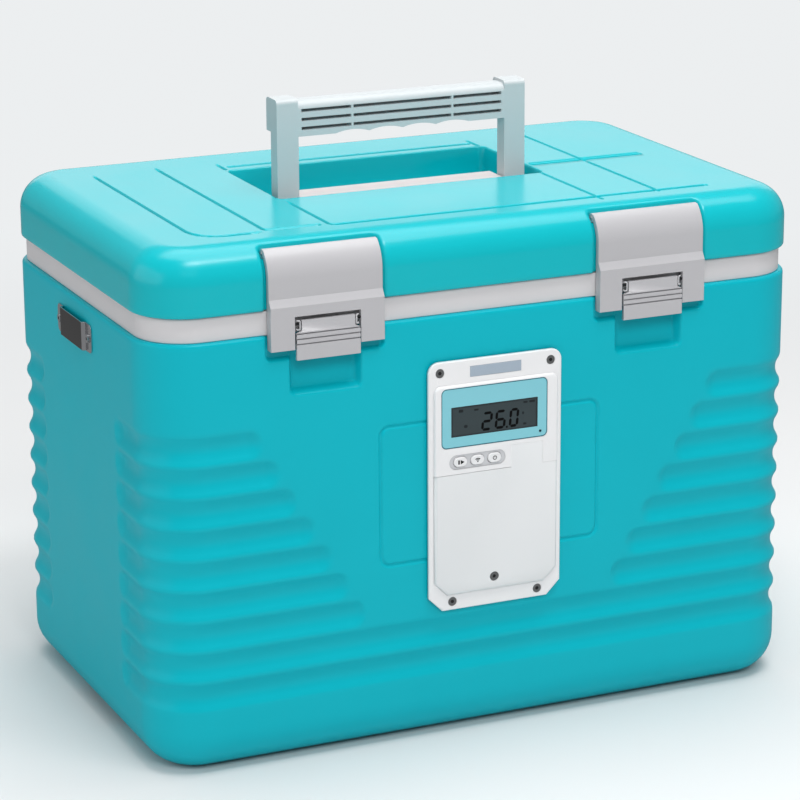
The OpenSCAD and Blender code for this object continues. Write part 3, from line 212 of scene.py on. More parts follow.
def tub_form(points, normals, run):
    """Sinks the grooves, the engraved frame, the let-in places and the base channel into the tub."""
    x, y, z = points.T
    front = normals[:, 1] < -0.7
    rear = normals[:, 1] > 0.7
    depth = groove_depth(x, y, z, np.abs(normals[:, 0]) > 0.999)
    frame_line = cut_line(inside_distance(x, z, *ENGRAVED_FRAME), half_width=1.9, wall=1.9, depth=1.3)
    beside_latch = np.abs(np.abs(x) - LATCH_X)
    sill = inside_distance(beside_latch, z, -LATCH_ROOM, LATCH_ROOM, LATCH_SILL, ABOVE_RIM, ROOM_CORNER)
    finger = inside_distance(
        beside_latch, z, -POCKET_HALF, POCKET_HALF, POCKET_FLOOR_Z, ABOVE_RIM, ROOM_CORNER
    )
    pocket = POCKET_DEPTH + POCKET_TILT * np.clip((z - POCKET_FLOOR_Z) / 26, 0, 1)
    latch_place = np.maximum(
        rounded_step(sill, ROOM_DEPTH, lip=1.8, wall=1.0), soft_wall(finger, pocket, outside=1.2, wall=3.6)
    )
    key_room = KEY_ROOM_DEPTH * np.clip(inside_distance(x, z, *KEY_ROOM) / 4, 0, 1)
    for sunk in (frame_line, latch_place, key_room):
        depth = np.maximum(depth, np.where(front, sunk, 0))
    beside_hinge = np.abs(np.abs(x) - HINGE_X)
    hinge = inside_distance(beside_hinge, z, -HINGE_ROOM, HINGE_ROOM, HINGE_SILL, ABOVE_RIM, ROOM_CORNER)
    depth = np.maximum(depth, np.where(rear, rounded_step(hinge, ROOM_DEPTH, lip=1.8, wall=1.0), 0))
    moved = points.copy()
    moved[:, :2] -= normals[:, :2] * depth[:, None]
    wall_reach = np.clip((CHANNEL_HALF - np.abs(y)) / CHANNEL_R, 0, 1)
    roof = (CHANNEL_H - CHANNEL_R) * np.clip((CHANNEL_HALF + 1 - np.abs(y)) / 1.2, 0, 1)
    roof += CHANNEL_R * np.sqrt(np.maximum(1 - (1 - wall_reach) ** 2, 0))
    moved[:, 2] = np.maximum(moved[:, 2], roof)
    return moved


tub_x = mirrored(graded(0, BODY_W / 2 - PLAN_R, 7, [
    (50, 82, 3), (82, 88, 0.6), (88, 190, 2), (76, 82, 0.6), (94, 100, 0.8), (146, 152, 0.8), (164, 171, 0.6),
]))
tub_y = mirrored(graded(0, BODY_D / 2 - PLAN_R, 6, [(33, 42, 0.6), (74, 100, 2)]))
wall_heights = graded(BASE_R, RIM_Z - RIM_R, 3, [
    (44, 250, 1.9), (131, 138, 0.6), (232, 239, 0.6), (264, 273, 0.9), (288, 297, 0.6),
])
tub_profile = [(inset, 0, 0, -1, 0) for inset in (PLAN_R, 36, 32)]
for i in range(11):
    angle = math.radians(-90 + 9 * i)
    out, up = math.cos(angle), math.sin(angle)
    tub_profile.append((BASE_R * (1 - out), BASE_R * (1 + up), out, up, 0))
tub_profile += [(0, z, 1, 0, 0) for z in wall_heights[1:]]
for i in range(1, 6):
    angle = math.radians(18 * i)
    tub_profile.append((RIM_R * (1 - math.cos(angle)), RIM_Z - RIM_R * (1 - math.sin(angle)), 1, 0, 0))
tub_profile += [(inset, RIM_Z, 1, 0, 0) for inset in (8, 14)]
tub_points, tub_faces = moulded_skin(tub_x, tub_y, tub_profile, tub_form, True)
tub_skin = piece_from("tub_skin", tub_points, tub_faces, "tub", ["tub_shell"])


def grain_group():
    """Node group: grain of a mould, with a colour and a roughness that drift over the surface."""
    group = bpy.data.node_groups.new("moulding_grain", "ShaderNodeTree")
    face = group.interface
    for label, kind, value in (
        ("Colour", "NodeSocketColor", (0.5, 0.5, 0.5, 1)),
        ("Deep Colour", "NodeSocketColor", (0.4, 0.4, 0.4, 1)),
        ("Grain Scale", "NodeSocketFloat", 900),
        ("Roughness Low", "NodeSocketFloat", 0.35),
        ("Roughness High", "NodeSocketFloat", 0.45),
    ):
        face.new_socket(label, in_out="INPUT", socket_type=kind).default_value = value
    for label, kind in (
        ("Colour", "NodeSocketColor"), ("Roughness", "NodeSocketFloat"), ("Height", "NodeSocketFloat"),
    ):
        face.new_socket(label, in_out="OUTPUT", socket_type=kind)
    nodes, links = group.nodes, group.links
    entry, leave = nodes.new("NodeGroupInput"), nodes.new("NodeGroupOutput")
    place = nodes.new("ShaderNodeTexCoord")
    drift = nodes.new("ShaderNodeTexNoise")
    drift.inputs["Scale"].default_value = 14
    drift.inputs["Detail"].default_value = 4
    fine = nodes.new("ShaderNodeTexNoise")
    fine.inputs["Detail"].default_value = 3
    blend = nodes.new("ShaderNodeMix")
    blend.data_type = "RGBA"
    gloss = nodes.new("ShaderNodeMapRange")
    gloss.inputs["From Min"].default_value = 0.3
    gloss.inputs["From Max"].default_value = 0.7
    links.new(place.outputs["Object"], drift.inputs["Vector"])
    links.new(place.outputs["Object"], fine.inputs["Vector"])
    links.new(entry.outputs["Grain Scale"], fine.inputs["Scale"])
    links.new(drift.outputs["Fac"], blend.inputs["Factor"])
    links.new(entry.outputs["Deep Colour"], blend.inputs["A"])
    links.new(entry.outputs["Colour"], blend.inputs["B"])
    links.new(drift.outputs["Fac"], gloss.inputs["Value"])
    links.new(entry.outputs["Roughness Low"], gloss.inputs["To Min"])
    links.new(entry.outputs["Roughness High"], gloss.inputs["To Max"])
    links.new(blend.outputs["Result"], leave.inputs["Colour"])
    links.new(gloss.outputs["Result"], leave.inputs["Roughness"])
    links.new(fine.outputs["Fac"], leave.inputs["Height"])
    return group


grain = grain_group()


def linear(rgb):
    """Linear colour of an sRGB one given from 0 to 255."""
    shares = [c / 255 for c in rgb]
    return [c / 12.92 if c <= 0.04045 else ((c + 0.055) / 1.055) ** 2.4 for c in shares] + [1.0]


def moulded(name, colour, deep, low, high, scale=900, bump=0.05, metal=0.0, specular=0.5):
    """Material of a moulded or finished surface: two colours that it drifts between, two roughnesses, the
    scale and the strength of its grain."""
    material = bpy.data.materials.new(name)
    material.use_nodes = True
    nodes, links = material.node_tree.nodes, material.node_tree.links
    shader = nodes["Principled BSDF"]
    shader.inputs["Metallic"].default_value = metal
    shader.inputs["Specular IOR Level"].default_value = specular
    effect = nodes.new("ShaderNodeGroup")
    effect.node_tree = grain
    effect.inputs["Colour"].default_value = linear(colour)
    effect.inputs["Deep Colour"].default_value = linear(deep)
    effect.inputs["Grain Scale"].default_value = scale
    effect.inputs["Roughness Low"].default_value = low
    effect.inputs["Roughness High"].default_value = high
    relief = nodes.new("ShaderNodeBump")
    relief.inputs["Strength"].default_value = bump
    relief.inputs["Distance"].default_value = 0.2 * MM
    links.new(effect.outputs["Colour"], shader.inputs["Base Color"])
    links.new(effect.outputs["Roughness"], shader.inputs["Roughness"])
    links.new(effect.outputs["Height"], relief.inputs["Height"])
    links.new(relief.outputs["Normal"], shader.inputs["Normal"])
    return material


def finish_with(material, *pieces):
    """Gives pieces, or CAD nodes by name, one material."""
    for piece in pieces:
        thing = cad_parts[piece] if isinstance(piece, str) else piece
        thing.data.materials.clear()
        thing.data.materials.append(material)


finish_with(moulded("tub_polyethylene", (0, 182, 197), (0, 177, 192), 0.34, 0.4, specular=0.2), tub_skin)

# Lid skin
# The same turquoise polyethylene with a broad rounded shoulder, let in for the latches, the hinges and the
# well of the handle. Its top carries engraved lines. A half round in each latch recess makes room for the
# barrel that the latch turns on.
LID_Z, LID_TOP, LID_EDGE_R, SHOULDER_R = 327.5, 372.5, 2, 24
SHOULDER_Z = LID_TOP - SHOULDER_R
LID_ROOM_DEPTH = 3.5
LATCH_END = SHOULDER_R * math.radians(63)
BARREL_R, BARREL_OUT, BARREL_AT = 3.7, 21.5, math.radians(50)
WELL = (-104.5, 104.5, -27, 77, 5)
WELL_DEPTH, WELL_LIP, WELL_R = 25, 3, 3
BELOW_EDGE, ON_TOP = -21, 60
LINE_HALF, LINE_WALL, LINE_DEPTH, CROSS_LINE = 1.5, 0.7, 2.4, 0.5


def bent_line(*corners):
    """Points along straight runs whose corners (x, y, radius) are rounded."""
    points = [np.array(corners[0][:2], float)]
    for before, corner, after in zip(corners, corners[1:], corners[2:]):
        middle = np.array(corner[:2], float)
        towards = np.array(before[:2]) - middle
        away = np.array(after[:2]) - middle
        start = middle + towards / np.linalg.norm(towards) * corner[2]
        stop = middle + away / np.linalg.norm(away) * corner[2]
        for i in range(9):
            t = i / 8
            points.append((1 - t) ** 2 * start + 2 * t * (1 - t) * middle + t**2 * stop)
    points.append(np.array(corners[-1][:2], float))
    return points


lid_lines = [
    bent_line((-200, 92, 0), (-200, -117, 25), (-160, -117, 0)),
    bent_line((-150, 100, 0), (-150, -113, 5), (-110, -113, 0)),
    bent_line((-103, -45, 0), (-103, -117, 6), (100, -117, 0)),
    bent_line((101.5, 95, 0), (101.5, -124, 0)),
    bent_line((150, 101, 0), (150, -118, 0)),
    bent_line((108, 0, 0), (199, 0, 0)),
    bent_line((103, -116, 0), (190, -116, 0)),
    bent_line((-104, 94, 0), (-104, 82, 0)),
    bent_line((-98, 89, 0), (98, 89, 0)),
]


def line_distance(x, y, lines):
    """Distance to the nearest of the lines, less across X, so that lines along X come out broader."""
    nearest = np.full(len(x), 1e3)
    for points in lines:
        for a, b in zip(points, points[1:]):
            run = b - a
            t = np.clip(((x - a[0]) * run[0] + (y - a[1]) * run[1]) / max(run @ run, 1e-9), 0, 1)
            across = CROSS_LINE * (y - a[1] - t * run[1])
            nearest = np.minimum(nearest, np.hypot(x - a[0] - t * run[0], across))
    return nearest


def lid_form(points, normals, run):
    """Sinks the latch and hinge places, the handle's well and the lines into the lid. The run is the way up
    the wall and the shoulder from the shoulder's foot."""
    x, y, z = points.T
    front = normals[:, 1] < -0.2
    front |= (normals[:, 2] > 0.5) & (y < -120) & (np.abs(x) < 211)
    rear = normals[:, 1] > 0.7
    beside_latch = np.abs(np.abs(x) - LATCH_X)
    let_in = inside_distance(beside_latch, run, -LATCH_ROOM, LATCH_ROOM, -100, LATCH_END, ROOM_CORNER)
    depth = np.where(front, rounded_step(let_in, LID_ROOM_DEPTH, lip=3.2, wall=0.7), 0)
    swing = run / SHOULDER_R - BARREL_AT
    barrel = BARREL_R**2 - (BARREL_OUT * np.sin(swing)) ** 2
    barrel_depth = SHOULDER_R - BARREL_OUT * np.cos(swing) + np.sqrt(np.maximum(barrel, 0))
    inside_room = np.clip(let_in / 0.8, 0, 1) * (barrel > 0) * (run > 0) * front
    depth = np.maximum(depth, barrel_depth * inside_room)
    beside_hinge = np.abs(np.abs(x) - HINGE_X)
    hinge = inside_distance(beside_hinge, run, -HINGE_ROOM, HINGE_ROOM, -100, 0, 1.5)
    depth = np.maximum(depth, np.where(rear, rounded_step(hinge, LID_ROOM_DEPTH, lip=1.6, wall=0.8), 0))
    moved = points - normals * depth[:, None]
    top = (normals[:, 2] > 0.999) & (z > LID_TOP - 1)
    well = inside_distance(x, y, *WELL)
    fall = rounded_step(well, WELL_LIP, lip=1.5, wall=0.4)
    fall += (WELL_DEPTH - WELL_LIP - WELL_R) * np.clip(well / 1.2, 0, 1)
    bend = np.clip((well - 1.2) / WELL_R, 0, 1)
    fall += WELL_R * np.sqrt(1 - (1 - bend) ** 2)
    lines = cut_line(line_distance(x, y, lid_lines), LINE_HALF, LINE_WALL, LINE_DEPTH)
    moved[:, 2] -= np.where(top, np.maximum(fall, lines * (well < -1.5)), 0)
    return moved


lid_x = mirrored(graded(0, BODY_W / 2 - PLAN_R, 7, [
    (74, 84, 0.7), (98, 110, 0.5), (110, 128, 1.6), (126, 153, 0.85), (148, 152, 0.5), (164, 172, 0.7),
    (160, 203, 1.2), (173, 203, 0.85), (198, 202, 0.5),
]))
lid_y = graded(PLAN_R - BODY_D / 2, BODY_D / 2 - PLAN_R, 6, [
    (-116, -111, 0.45), (-111, -90, 0.85), (-31, -22, 0.5), (-3, 3, 0.5), (72, 79, 0.5), (79, 93, 0.9),
    (85.5, 92.5, 0.5),
])
lid_profile = [(inset, LID_Z + 0.3, 1, 0, BELOW_EDGE) for inset in (14, 2.6)]
for i in range(5):
    angle = math.radians(-90 + 22.5 * i)
    inset, height = LID_EDGE_R * (1 - math.cos(angle)), LID_Z + LID_EDGE_R * (1 + math.sin(angle))
    lid_profile.append((inset, height, 1, 0, BELOW_EDGE + 0.5 * i))
for z in graded(LID_Z + LID_EDGE_R, SHOULDER_Z, 2.4, [(345, 350, 0.8)])[1:]:
    lid_profile.append((0, z, 1, 0, z - SHOULDER_Z))
for degrees in graded(0, 90, 4.5, [(40, 72, 1.6)])[1:]:
    angle = math.radians(degrees)
    out, up = math.cos(angle), math.sin(angle)
    lid_profile.append((SHOULDER_R * (1 - out), SHOULDER_Z + SHOULDER_R * up, out, up, SHOULDER_R * angle))
for inset in graded(SHOULDER_R, PLAN_R, 1.1, [(30, 40, 0.5)])[1:]:
    lid_profile.append((inset, LID_TOP, 0, 1, ON_TOP))
lid_points, lid_faces = moulded_skin(lid_x, lid_y, lid_profile, lid_form, False)
lid_skin = piece_from("lid_skin", lid_points, lid_faces, "lid", ["lid_shell"])
finish_with(moulded("lid_polyethylene", (0, 184, 194), (0, 179, 189), 0.2, 0.26, specular=0.42), lid_skin)


# Rim band and inner liner
# The pale band is moulded plastic that caps the foamed wall, and the liner is a white deep-drawn tray let in
# under it.
def sharp_edges(form, test, turn):
    """Edges that turn by more than turn degrees and whose middle, in millimetres, passes the test."""
    edges = []
    for edge in form.edges:
        if edge.is_manifold and edge.calc_face_angle() > math.radians(turn):
            middle = (edge.verts[0].co + edge.verts[1].co) / (2 * MM)
            if test is None or test(middle):
                edges.append(edge)
    return edges


def round_over(form, passes, turn=32):
    """Rounds sharp edges in turn: each pass is a width in millimetres, a number of steps, a test or None, and
    the number of the rounding's own material where it has one."""
    for width, steps, test, *own in passes:
        edges = sharp_edges(form, test, turn)
        if edges:
            bmesh.ops.bevel(
                form, geom=edges, offset=width * MM, offset_type="OFFSET", segments=steps, profile=0.5,
                affect="EDGES", clamp_overlap=True, material=own[0] if own else -1
            )


def applied(thing):
    """A new mesh of an object as its modifiers or its curve settings shape it."""
    bpy.context.view_layer.update()
    return bpy.data.meshes.new_from_object(thing.evaluated_get(bpy.context.evaluated_depsgraph_get()))


def settled_mesh(form, name):
    """A mesh from the form, smooth, with normals that follow its large faces."""
    raw = bpy.data.meshes.new(name)
    form.to_mesh(raw)
    form.free()
    raw.shade_smooth()
    holder = added(name, raw)
    weighted = holder.modifiers.new("weighted", "WEIGHTED_NORMAL")
    weighted.weight = 50
    weighted.keep_sharp = False
    mesh = applied(holder)
    bpy.data.objects.remove(holder)
    bpy.data.meshes.remove(raw)
    mesh.name = name
    return mesh


def softened(node, name, body, slot, *passes, reshape=None, turn=32):
    """Copies a CAD node's mesh into a piece of its own and rounds its sharp edges."""
    form = bmesh.new()
    form.from_mesh(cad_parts[node].data)
    bmesh.ops.remove_doubles(form, verts=form.verts, dist=WELD)
    if reshape:
        for vertex in form.verts:
            vertex.co = Vector(reshape(vertex.co / MM)) * MM
    bmesh.ops.dissolve_limit(
        form, angle_limit=math.radians(0.6), verts=form.verts, edges=form.edges, use_dissolve_boundaries=False
    )
    round_over(form, passes, turn)
    return placed(settled_mesh(form, name), name, body, [node])


band = softened("rim_collar", "rim_band", "tub", "band", (0.8, 2, None))
liner = softened("inner_liner", "liner_tray", "tub", "liner_white", (0.9, 3, None))
finish_with(moulded("band_plastic", (216, 213, 214), (208, 205, 207), 0.38, 0.5), band)
finish_with(moulded("liner_plastic", (240, 240, 238), (233, 233, 231), 0.3, 0.4), liner)

# Display housing
# White moulded housing with a raised middle, screwed to the tub's face over a rubber gasket. It holds the
# window, the screen and the keys. Its battery cover takes the whole width of the raised middle and reaches up
# beside the keys with a tongue.
FLANGE_Y, RAISE_Y = -160, -162.6
PANEL_X, COVER_TOP, SEAM = 1.8, 196.5, 0.3
COVER_SCREW_Z, SINK_R = 117.5, 3.5
RAISE_ROUND, SEAM_ROUND, FLANGE_ROUND = 2.6, 0.25, 1.2
gasket_rubber = moulded("gasket_rubber", (52, 54, 57), (44, 46, 49), 0.6, 0.75, scale=1500, bump=0.2)
housing_plastic = moulded("housing_plastic", (238, 238, 239), (234, 234, 235), 0.3, 0.38, scale=1600)
cover_plastic = moulded("cover_plastic", (230, 232, 233), (226, 228, 229), 0.34, 0.42, scale=1600, bump=0.06)
# Painted highlight: a pure white copy of the housing's plastic for the roundings along the flange, the raised
# middle and the cover, so that these edges read bright.
painted_highlight_plastic = moulded("housing_painted_edge_highlight", (255, 255, 255), (254, 254, 254), 0.34, 0.42, scale=1600)
finish_with(gasket_rubber, "display_gasket")


def on_raise(p):
    """True on the front outline of the raised middle."""
    inside = abs(p.x) < 41.6 and 117 < p.z < 259.6
    return p.y < RAISE_Y + 0.1 and not inside and abs(p.z - COVER_TOP) > 0.6


def on_flange(p):
    """True on the front outline of the flange, with its round upper and cut lower corners."""
    side = abs(p.x - PANEL_X)
    corner = side > 43.3 and p.z > 270 and math.hypot(side - 43.3, p.z - 270) > 7.5
    outline = side > 50.3 or p.z < 97 or p.z > 277 or corner or (side - p.z > -57 and p.z < 108)
    return outline and abs(p.y - FLANGE_Y) < 0.1


def on_seam(p):
    """True on the cover's edges along the keys and round its tongue."""
    return p.y < -162 and p.z > 150


def beside_cover(face):
    """True for a face of the raised middle that the battery cover takes the place of."""
    middle = face.calc_center_median() / MM
    low = 107.5 < middle.z < COVER_TOP + SEAM
    return low and middle.y < FLANGE_Y - 0.02 and abs(middle.x - PANEL_X) < 47.9


def add_slab(form, outline, back, front):
    """Adds a block with an outline in X and Z, from its back to its front."""
    rear = [form.verts.new((x * MM, back * MM, z * MM)) for x, z in outline]
    fore = [form.verts.new((x * MM, front * MM, z * MM)) for x, z in outline]
    form.faces.new(fore)
    form.faces.new(rear[::-1])
    for i in range(len(outline)):
        j = (i + 1) % len(outline)
        form.faces.new((rear[i], rear[j], fore[j], fore[i]))


def slabs(outlines, back, front):
    """A form of blocks with the same back and front."""
    form = bmesh.new()
    for outline in outlines:
        add_slab(form, outline, back, front)
    bmesh.ops.recalc_face_normals(form, faces=form.faces)
    return form


def cut_out(piece, outline, back, front):
    """Cuts a hole with an outline in X and Z into a piece."""
    form = slabs([outline], back, front)
    cutter_mesh = bpy.data.meshes.new("cutter")
    form.to_mesh(cutter_mesh)
    form.free()
    cutter = added("cutter", cutter_mesh)
    hole = piece.modifiers.new("hole", "BOOLEAN")
    hole.object = cutter
    hole.solver = "EXACT"
    piece.data = applied(piece)
    piece.modifiers.clear()
    bpy.data.objects.remove(cutter)


housing = softened(
    "display_housing", "housing_body", "tub", "housing_white", (FLANGE_ROUND, 3, on_flange, 1)
)
form = bmesh.new()
form.from_mesh(housing.data)
bmesh.ops.bisect_plane(
    form, geom=form.verts[:] + form.edges[:] + form.faces[:], plane_co=(0, 0, (COVER_TOP + SEAM) * MM),
    plane_no=(0, 0, 1)
)
bmesh.ops.delete(form, geom=[face for face in form.faces if beside_cover(face)], context="FACES")
round_over(form, [(RAISE_ROUND, 3, on_raise, 1)])
housing.data = settled_mesh(form, "housing_body")
tongue_foot = COVER_TOP + 0.26
cover_outline = [
    (-35.9, 107.7), (39.5, 107.7), (49.5, 117.7), (49.5, tongue_foot), (37.3, tongue_foot), (37.3, 212.7),
    (12.9, 212.7), (12.9, COVER_TOP), (-45.9, COVER_TOP), (-45.9, 117.7),
]
cover_form = slabs([cover_outline], FLANGE_Y, RAISE_Y)
round_over(cover_form, [(RAISE_ROUND, 3, on_raise, 1), (SEAM_ROUND, 2, on_seam)])
cover_mesh = settled_mesh(cover_form, "cover_plate")
cover = placed(cover_mesh, "cover_plate", "tub", ["battery_cover"])
screw_sink = []
for i in range(32):
    angle = math.pi * i / 16
    screw_sink.append((SINK_R * math.cos(angle), COVER_SCREW_Z + SINK_R * math.sin(angle)))
cut_out(cover, screw_sink, FLANGE_Y - 0.5, -164)
finish_with(housing_plastic, housing)
finish_with(cover_plastic, cover)
# The roundings, material number 1, take the painted edge highlight.
for shell in (housing, cover):
    shell.data.materials.append(painted_highlight_plastic)

# Window and screen
# The window is a glossy blue film on a recessed plate, with a dark line round it. The screen behind it is a
# grey liquid crystal glass in a sloped rebate, coloured dark as painted shade round the screen's edge, and
# shows its digits in black bars.
WINDOW_FACE, SCREEN_FACE = -162.3, -161.8
DIGIT_LOW, DIGIT_TOP, DIGIT_STROKE, DIGIT_LEAN, BAR_GAP = 225.5, 239.1, 1.9, 0.09, 0.22
SEGMENTS = {"2": "abged", "6": "afgecd", "0": "abcdef"}


def plates(name, outlines, back, front, body, material):
    """Thin plates that face the front, from closed outlines in X and Z."""
    form = slabs(outlines, back, front)
    mesh = bpy.data.meshes.new(name)
    form.to_mesh(mesh)
    form.free()
    mesh.materials.append(material)
    return placed(mesh, name, body)


def corner_loop(x0, x1, z0, z1, radius, steps=6):
    """Points round a rounded rectangle."""
    loop = []
    for cx, cz, start in (
        (x1 - radius, z0 + radius, -90), (x1 - radius, z1 - radius, 0), (x0 + radius, z1 - radius, 90),
        (x0 + radius, z0 + radius, 180),
    ):
        for i in range(steps + 1):
            angle = math.radians(start + 90 * i / steps)
            loop.append((cx + radius * math.cos(angle), cz + radius * math.sin(angle)))
    return loop


def frame_strips(outer, inner):
    """Outlines that together fill the space between two loops of the same length."""
    count = len(outer)
    return [[outer[i], outer[(i + 1) % count], inner[(i + 1) % count], inner[i]] for i in range(count)]


def sloped_frame(name, outer, inner, outer_y, inner_y, body, material):
    """A narrow frame whose face slopes from its outer loop in to its inner loop."""
    points = [(x, outer_y, z) for x, z in outer] + [(x, inner_y, z) for x, z in inner]
    count = len(outer)
    faces = [(i, (i + 1) % count, count + (i + 1) % count, count + i) for i in range(count)]
    piece = piece_from(name, points, faces, body)
    piece.data.materials.append(material)


def digit(figure, left, right):
    """Outlines of a figure made of bars with pointed ends, leaning to the right."""
    middle = (DIGIT_LOW + DIGIT_TOP) / 2
    half = DIGIT_STROKE / 2
    x0, x1 = left + half, right - half
    z0, z1 = DIGIT_LOW + half, DIGIT_TOP - half
    bars = {
        "a": (x0, z1, x1, z1), "d": (x0, z0, x1, z0), "g": (x0, middle, x1, middle),
        "b": (x1, middle, x1, z1), "c": (x1, z0, x1, middle),
        "f": (x0, middle, x0, z1), "e": (x0, z0, x0, middle),
    }
    outlines = []
    for bar in SEGMENTS[figure]:
        ax, az, bx, bz = bars[bar]
        if az == bz:
            ax, bx = ax + BAR_GAP, bx - BAR_GAP
            outline = [
                (ax, az), (ax + half, az - half), (bx - half, az - half), (bx, az), (bx - half, az + half),
                (ax + half, az + half),
            ]
        else:
            az, bz = az + BAR_GAP, bz - BAR_GAP
            outline = [
                (ax, az), (ax + half, az + half), (ax + half, bz - half), (ax, bz), (ax - half, bz - half),
                (ax - half, az + half),
            ]
        outlines.append([(x + (z - DIGIT_LOW) * DIGIT_LEAN, z) for x, z in outline])
    return outlines


window_plastic = moulded("window_film", (134, 204, 216), (129, 200, 212), 0.16, 0.24, scale=2000, bump=0.02)
outline_ink = moulded("window_line", (38, 112, 128), (34, 104, 120), 0.3, 0.4, scale=2000, bump=0.02)
screen_glass = moulded(
    "screen_glass", (62, 72, 75), (55, 65, 68), 0.12, 0.2, scale=1200, bump=0.01, specular=0.25
)
screen_rebate_painted_shade = moulded("screen_rebate_painted_shade", (42, 50, 54), (36, 43, 47), 0.35, 0.5, scale=1800)
segment_ink = moulded("screen_segments", (5, 6, 7), (3, 4, 5), 0.5, 0.6, scale=1800, bump=0.01, specular=0.15)
faint_ink = moulded(
    "screen_faint_marks", (36, 42, 45), (32, 38, 41), 0.5, 0.6, scale=1800, bump=0.01, specular=0.15
)
lamp_lens = moulded("lamp_lens", (30, 62, 74), (26, 56, 68), 0.12, 0.2, scale=2000, bump=0.01)
plate_metal = moulded("bare_plate", (168, 182, 196), (160, 174, 188), 0.3, 0.4, scale=1500)
window = softened("display_window", "window_plate", "tub", "window_blue", (0.25, 2, None))
finish_with(window_plastic, window)
finish_with(screen_glass, "lcd_screen")
finish_with(lamp_lens, "status_lamp")
window_line = frame_strips(
    corner_loop(-40.8, 40.8, 216, 259, 3.8), corner_loop(-40.2, 40.2, 216.6, 258.4, 3.3)
)
plates(
    "window_outline", window_line, WINDOW_FACE + 0.02, WINDOW_FACE - 0.04, "tub", outline_ink
)
rebate_outer = corner_loop(-33.3, 33.3, 223.8, 245.3, 0.3, 2)
rebate_inner = corner_loop(-32, 32, 224.8, 244.1, 0.3, 2)
# The rebate's near-black colour is painted shade along the screen's edge.
sloped_frame(
    "screen_bezel", rebate_outer, rebate_inner, WINDOW_FACE - 0.02, SCREEN_FACE - 0.02, "tub",
    screen_rebate_painted_shade
)
figures = digit("2", -10.4, -2.2) + digit("6", 0, 8.2) + digit("0", 10.9, 18.2)
figures.append(corner_loop(8.9, 10.3, DIGIT_LOW, DIGIT_LOW + 1.4, 0.3, 2))
plates("screen_figures", figures, SCREEN_FACE + 0.02, SCREEN_FACE - 0.04, "tub", segment_ink)
small_marks = [
    corner_loop(-27.4, -24, 241, 243, 0.4, 2), corner_loop(-15.6, -12.2, 240.9, 242.3, 0.4, 2),
    corner_loop(-23.4, -20.6, 229.4, 231.6, 1, 3), corner_loop(21.4, 23, 233.9, 235.8, 0.5, 2),
    corner_loop(22.4, 25.6, 241.8, 243.3, 0.4, 2), corner_loop(27, 31.4, 241.8, 243.3, 0.4, 2),
    corner_loop(22.3, 24.8, 226.2, 227.6, 0.4, 2),
]
plates("screen_marks", small_marks, SCREEN_FACE + 0.02, SCREEN_FACE - 0.03, "tub", faint_ink)
bare_plate = softened("nameplate", "bare_plate", "tub", "plate_grey", (0.15, 2, None))
finish_with(plate_metal, bare_plate)

# Keys
# Three white silicone keys stand in a grey surround. Each carries a printed sign: start, signal and power.
# The keys' faces are set a hair back, so that their signs stay within the depth of the solid keys.
KEY_FACE, KEY_Z = -163.12, 205.4
SIGNAL_X, POWER_X = -13.3, -0.2
key_rubber = moulded("key_rubber", (238, 238, 239), (232, 232, 233), 0.38, 0.46, scale=1800, bump=0.06)
surround_plastic = moulded(
    "keypad_plastic", (206, 207, 210), (198, 199, 202), 0.4, 0.5, scale=1500, bump=0.08
)
sign_ink = moulded("key_sign_ink", (22, 24, 27), (18, 20, 23), 0.4, 0.5, scale=1800, bump=0.01)
surround = softened("keypad_surround", "keypad_tray", "tub", "keypad_grey", (0.3, 2, None))
finish_with(surround_plastic, surround)


def block(x0, x1, z0, z1):
    """Outline of a rectangle."""
    return [(x0, z0), (x1, z0), (x1, z1), (x0, z1)]


def ring_arc(cx, cz, inner, outer, start, stop, steps=10):
    """Outlines of an arc-shaped bar round a centre, from one angle to another in degrees."""
    def on_ring(radius, angle):
        return cx + radius * math.cos(angle), cz + radius * math.sin(angle)

    outlines = []
    for i in range(steps):
        a = math.radians(start + (stop - start) * i / steps)
        b = math.radians(start + (stop - start) * (i + 1) / steps)
        outlines.append([on_ring(inner, a), on_ring(outer, a), on_ring(outer, b), on_ring(inner, b)])
    return outlines


start_sign = [
    block(-28.4, -27.2, KEY_Z - 1.5, KEY_Z + 1.5),
    [(-26.5, KEY_Z - 1.6), (-23.6, KEY_Z), (-26.5, KEY_Z + 1.6)],
]
signal_sign = ring_arc(SIGNAL_X, KEY_Z - 1.3, 2.1, 2.8, 45, 135)
signal_sign += ring_arc(SIGNAL_X, KEY_Z - 1.3, 1.1, 1.7, 45, 135)
signal_sign += ring_arc(SIGNAL_X, KEY_Z - 1.1, 0, 0.5, 0, 360)
power_sign = ring_arc(POWER_X, KEY_Z, 1.1, 1.6, 115, 425)
power_sign.append(block(POWER_X - 0.25, POWER_X + 0.25, KEY_Z, KEY_Z + 1.8))
for key_name, sign in (("start", start_sign), ("signal", signal_sign), ("power", power_sign)):
    body = key_name + "_key"
    key = softened(key_name + "_button", key_name + "_cap", body, "button_white", (0.9, 4, None))
    for vertex in key.data.vertices:
        vertex.co.y = max(vertex.co.y, KEY_FACE * MM)
    finish_with(key_rubber, key)
    plates(key_name + "_sign", sign, KEY_FACE + 0.02, KEY_FACE - 0.05, body, sign_ink)

# Screws and hidden electronics
# Dull steel screws with hexagonal sockets hold the housing and the battery cover. The board, the battery pack
# and the foam sit behind them, and the steel probe goes through the wall.
FLANGE_HEAD, COVER_HEAD, SOCKET_R = -160.2, -162.2, 1.3
dark_steel = moulded("screw_steel", (166, 167, 168), (148, 149, 150), 0.4, 0.5, scale=2500, bump=0.1, metal=1)
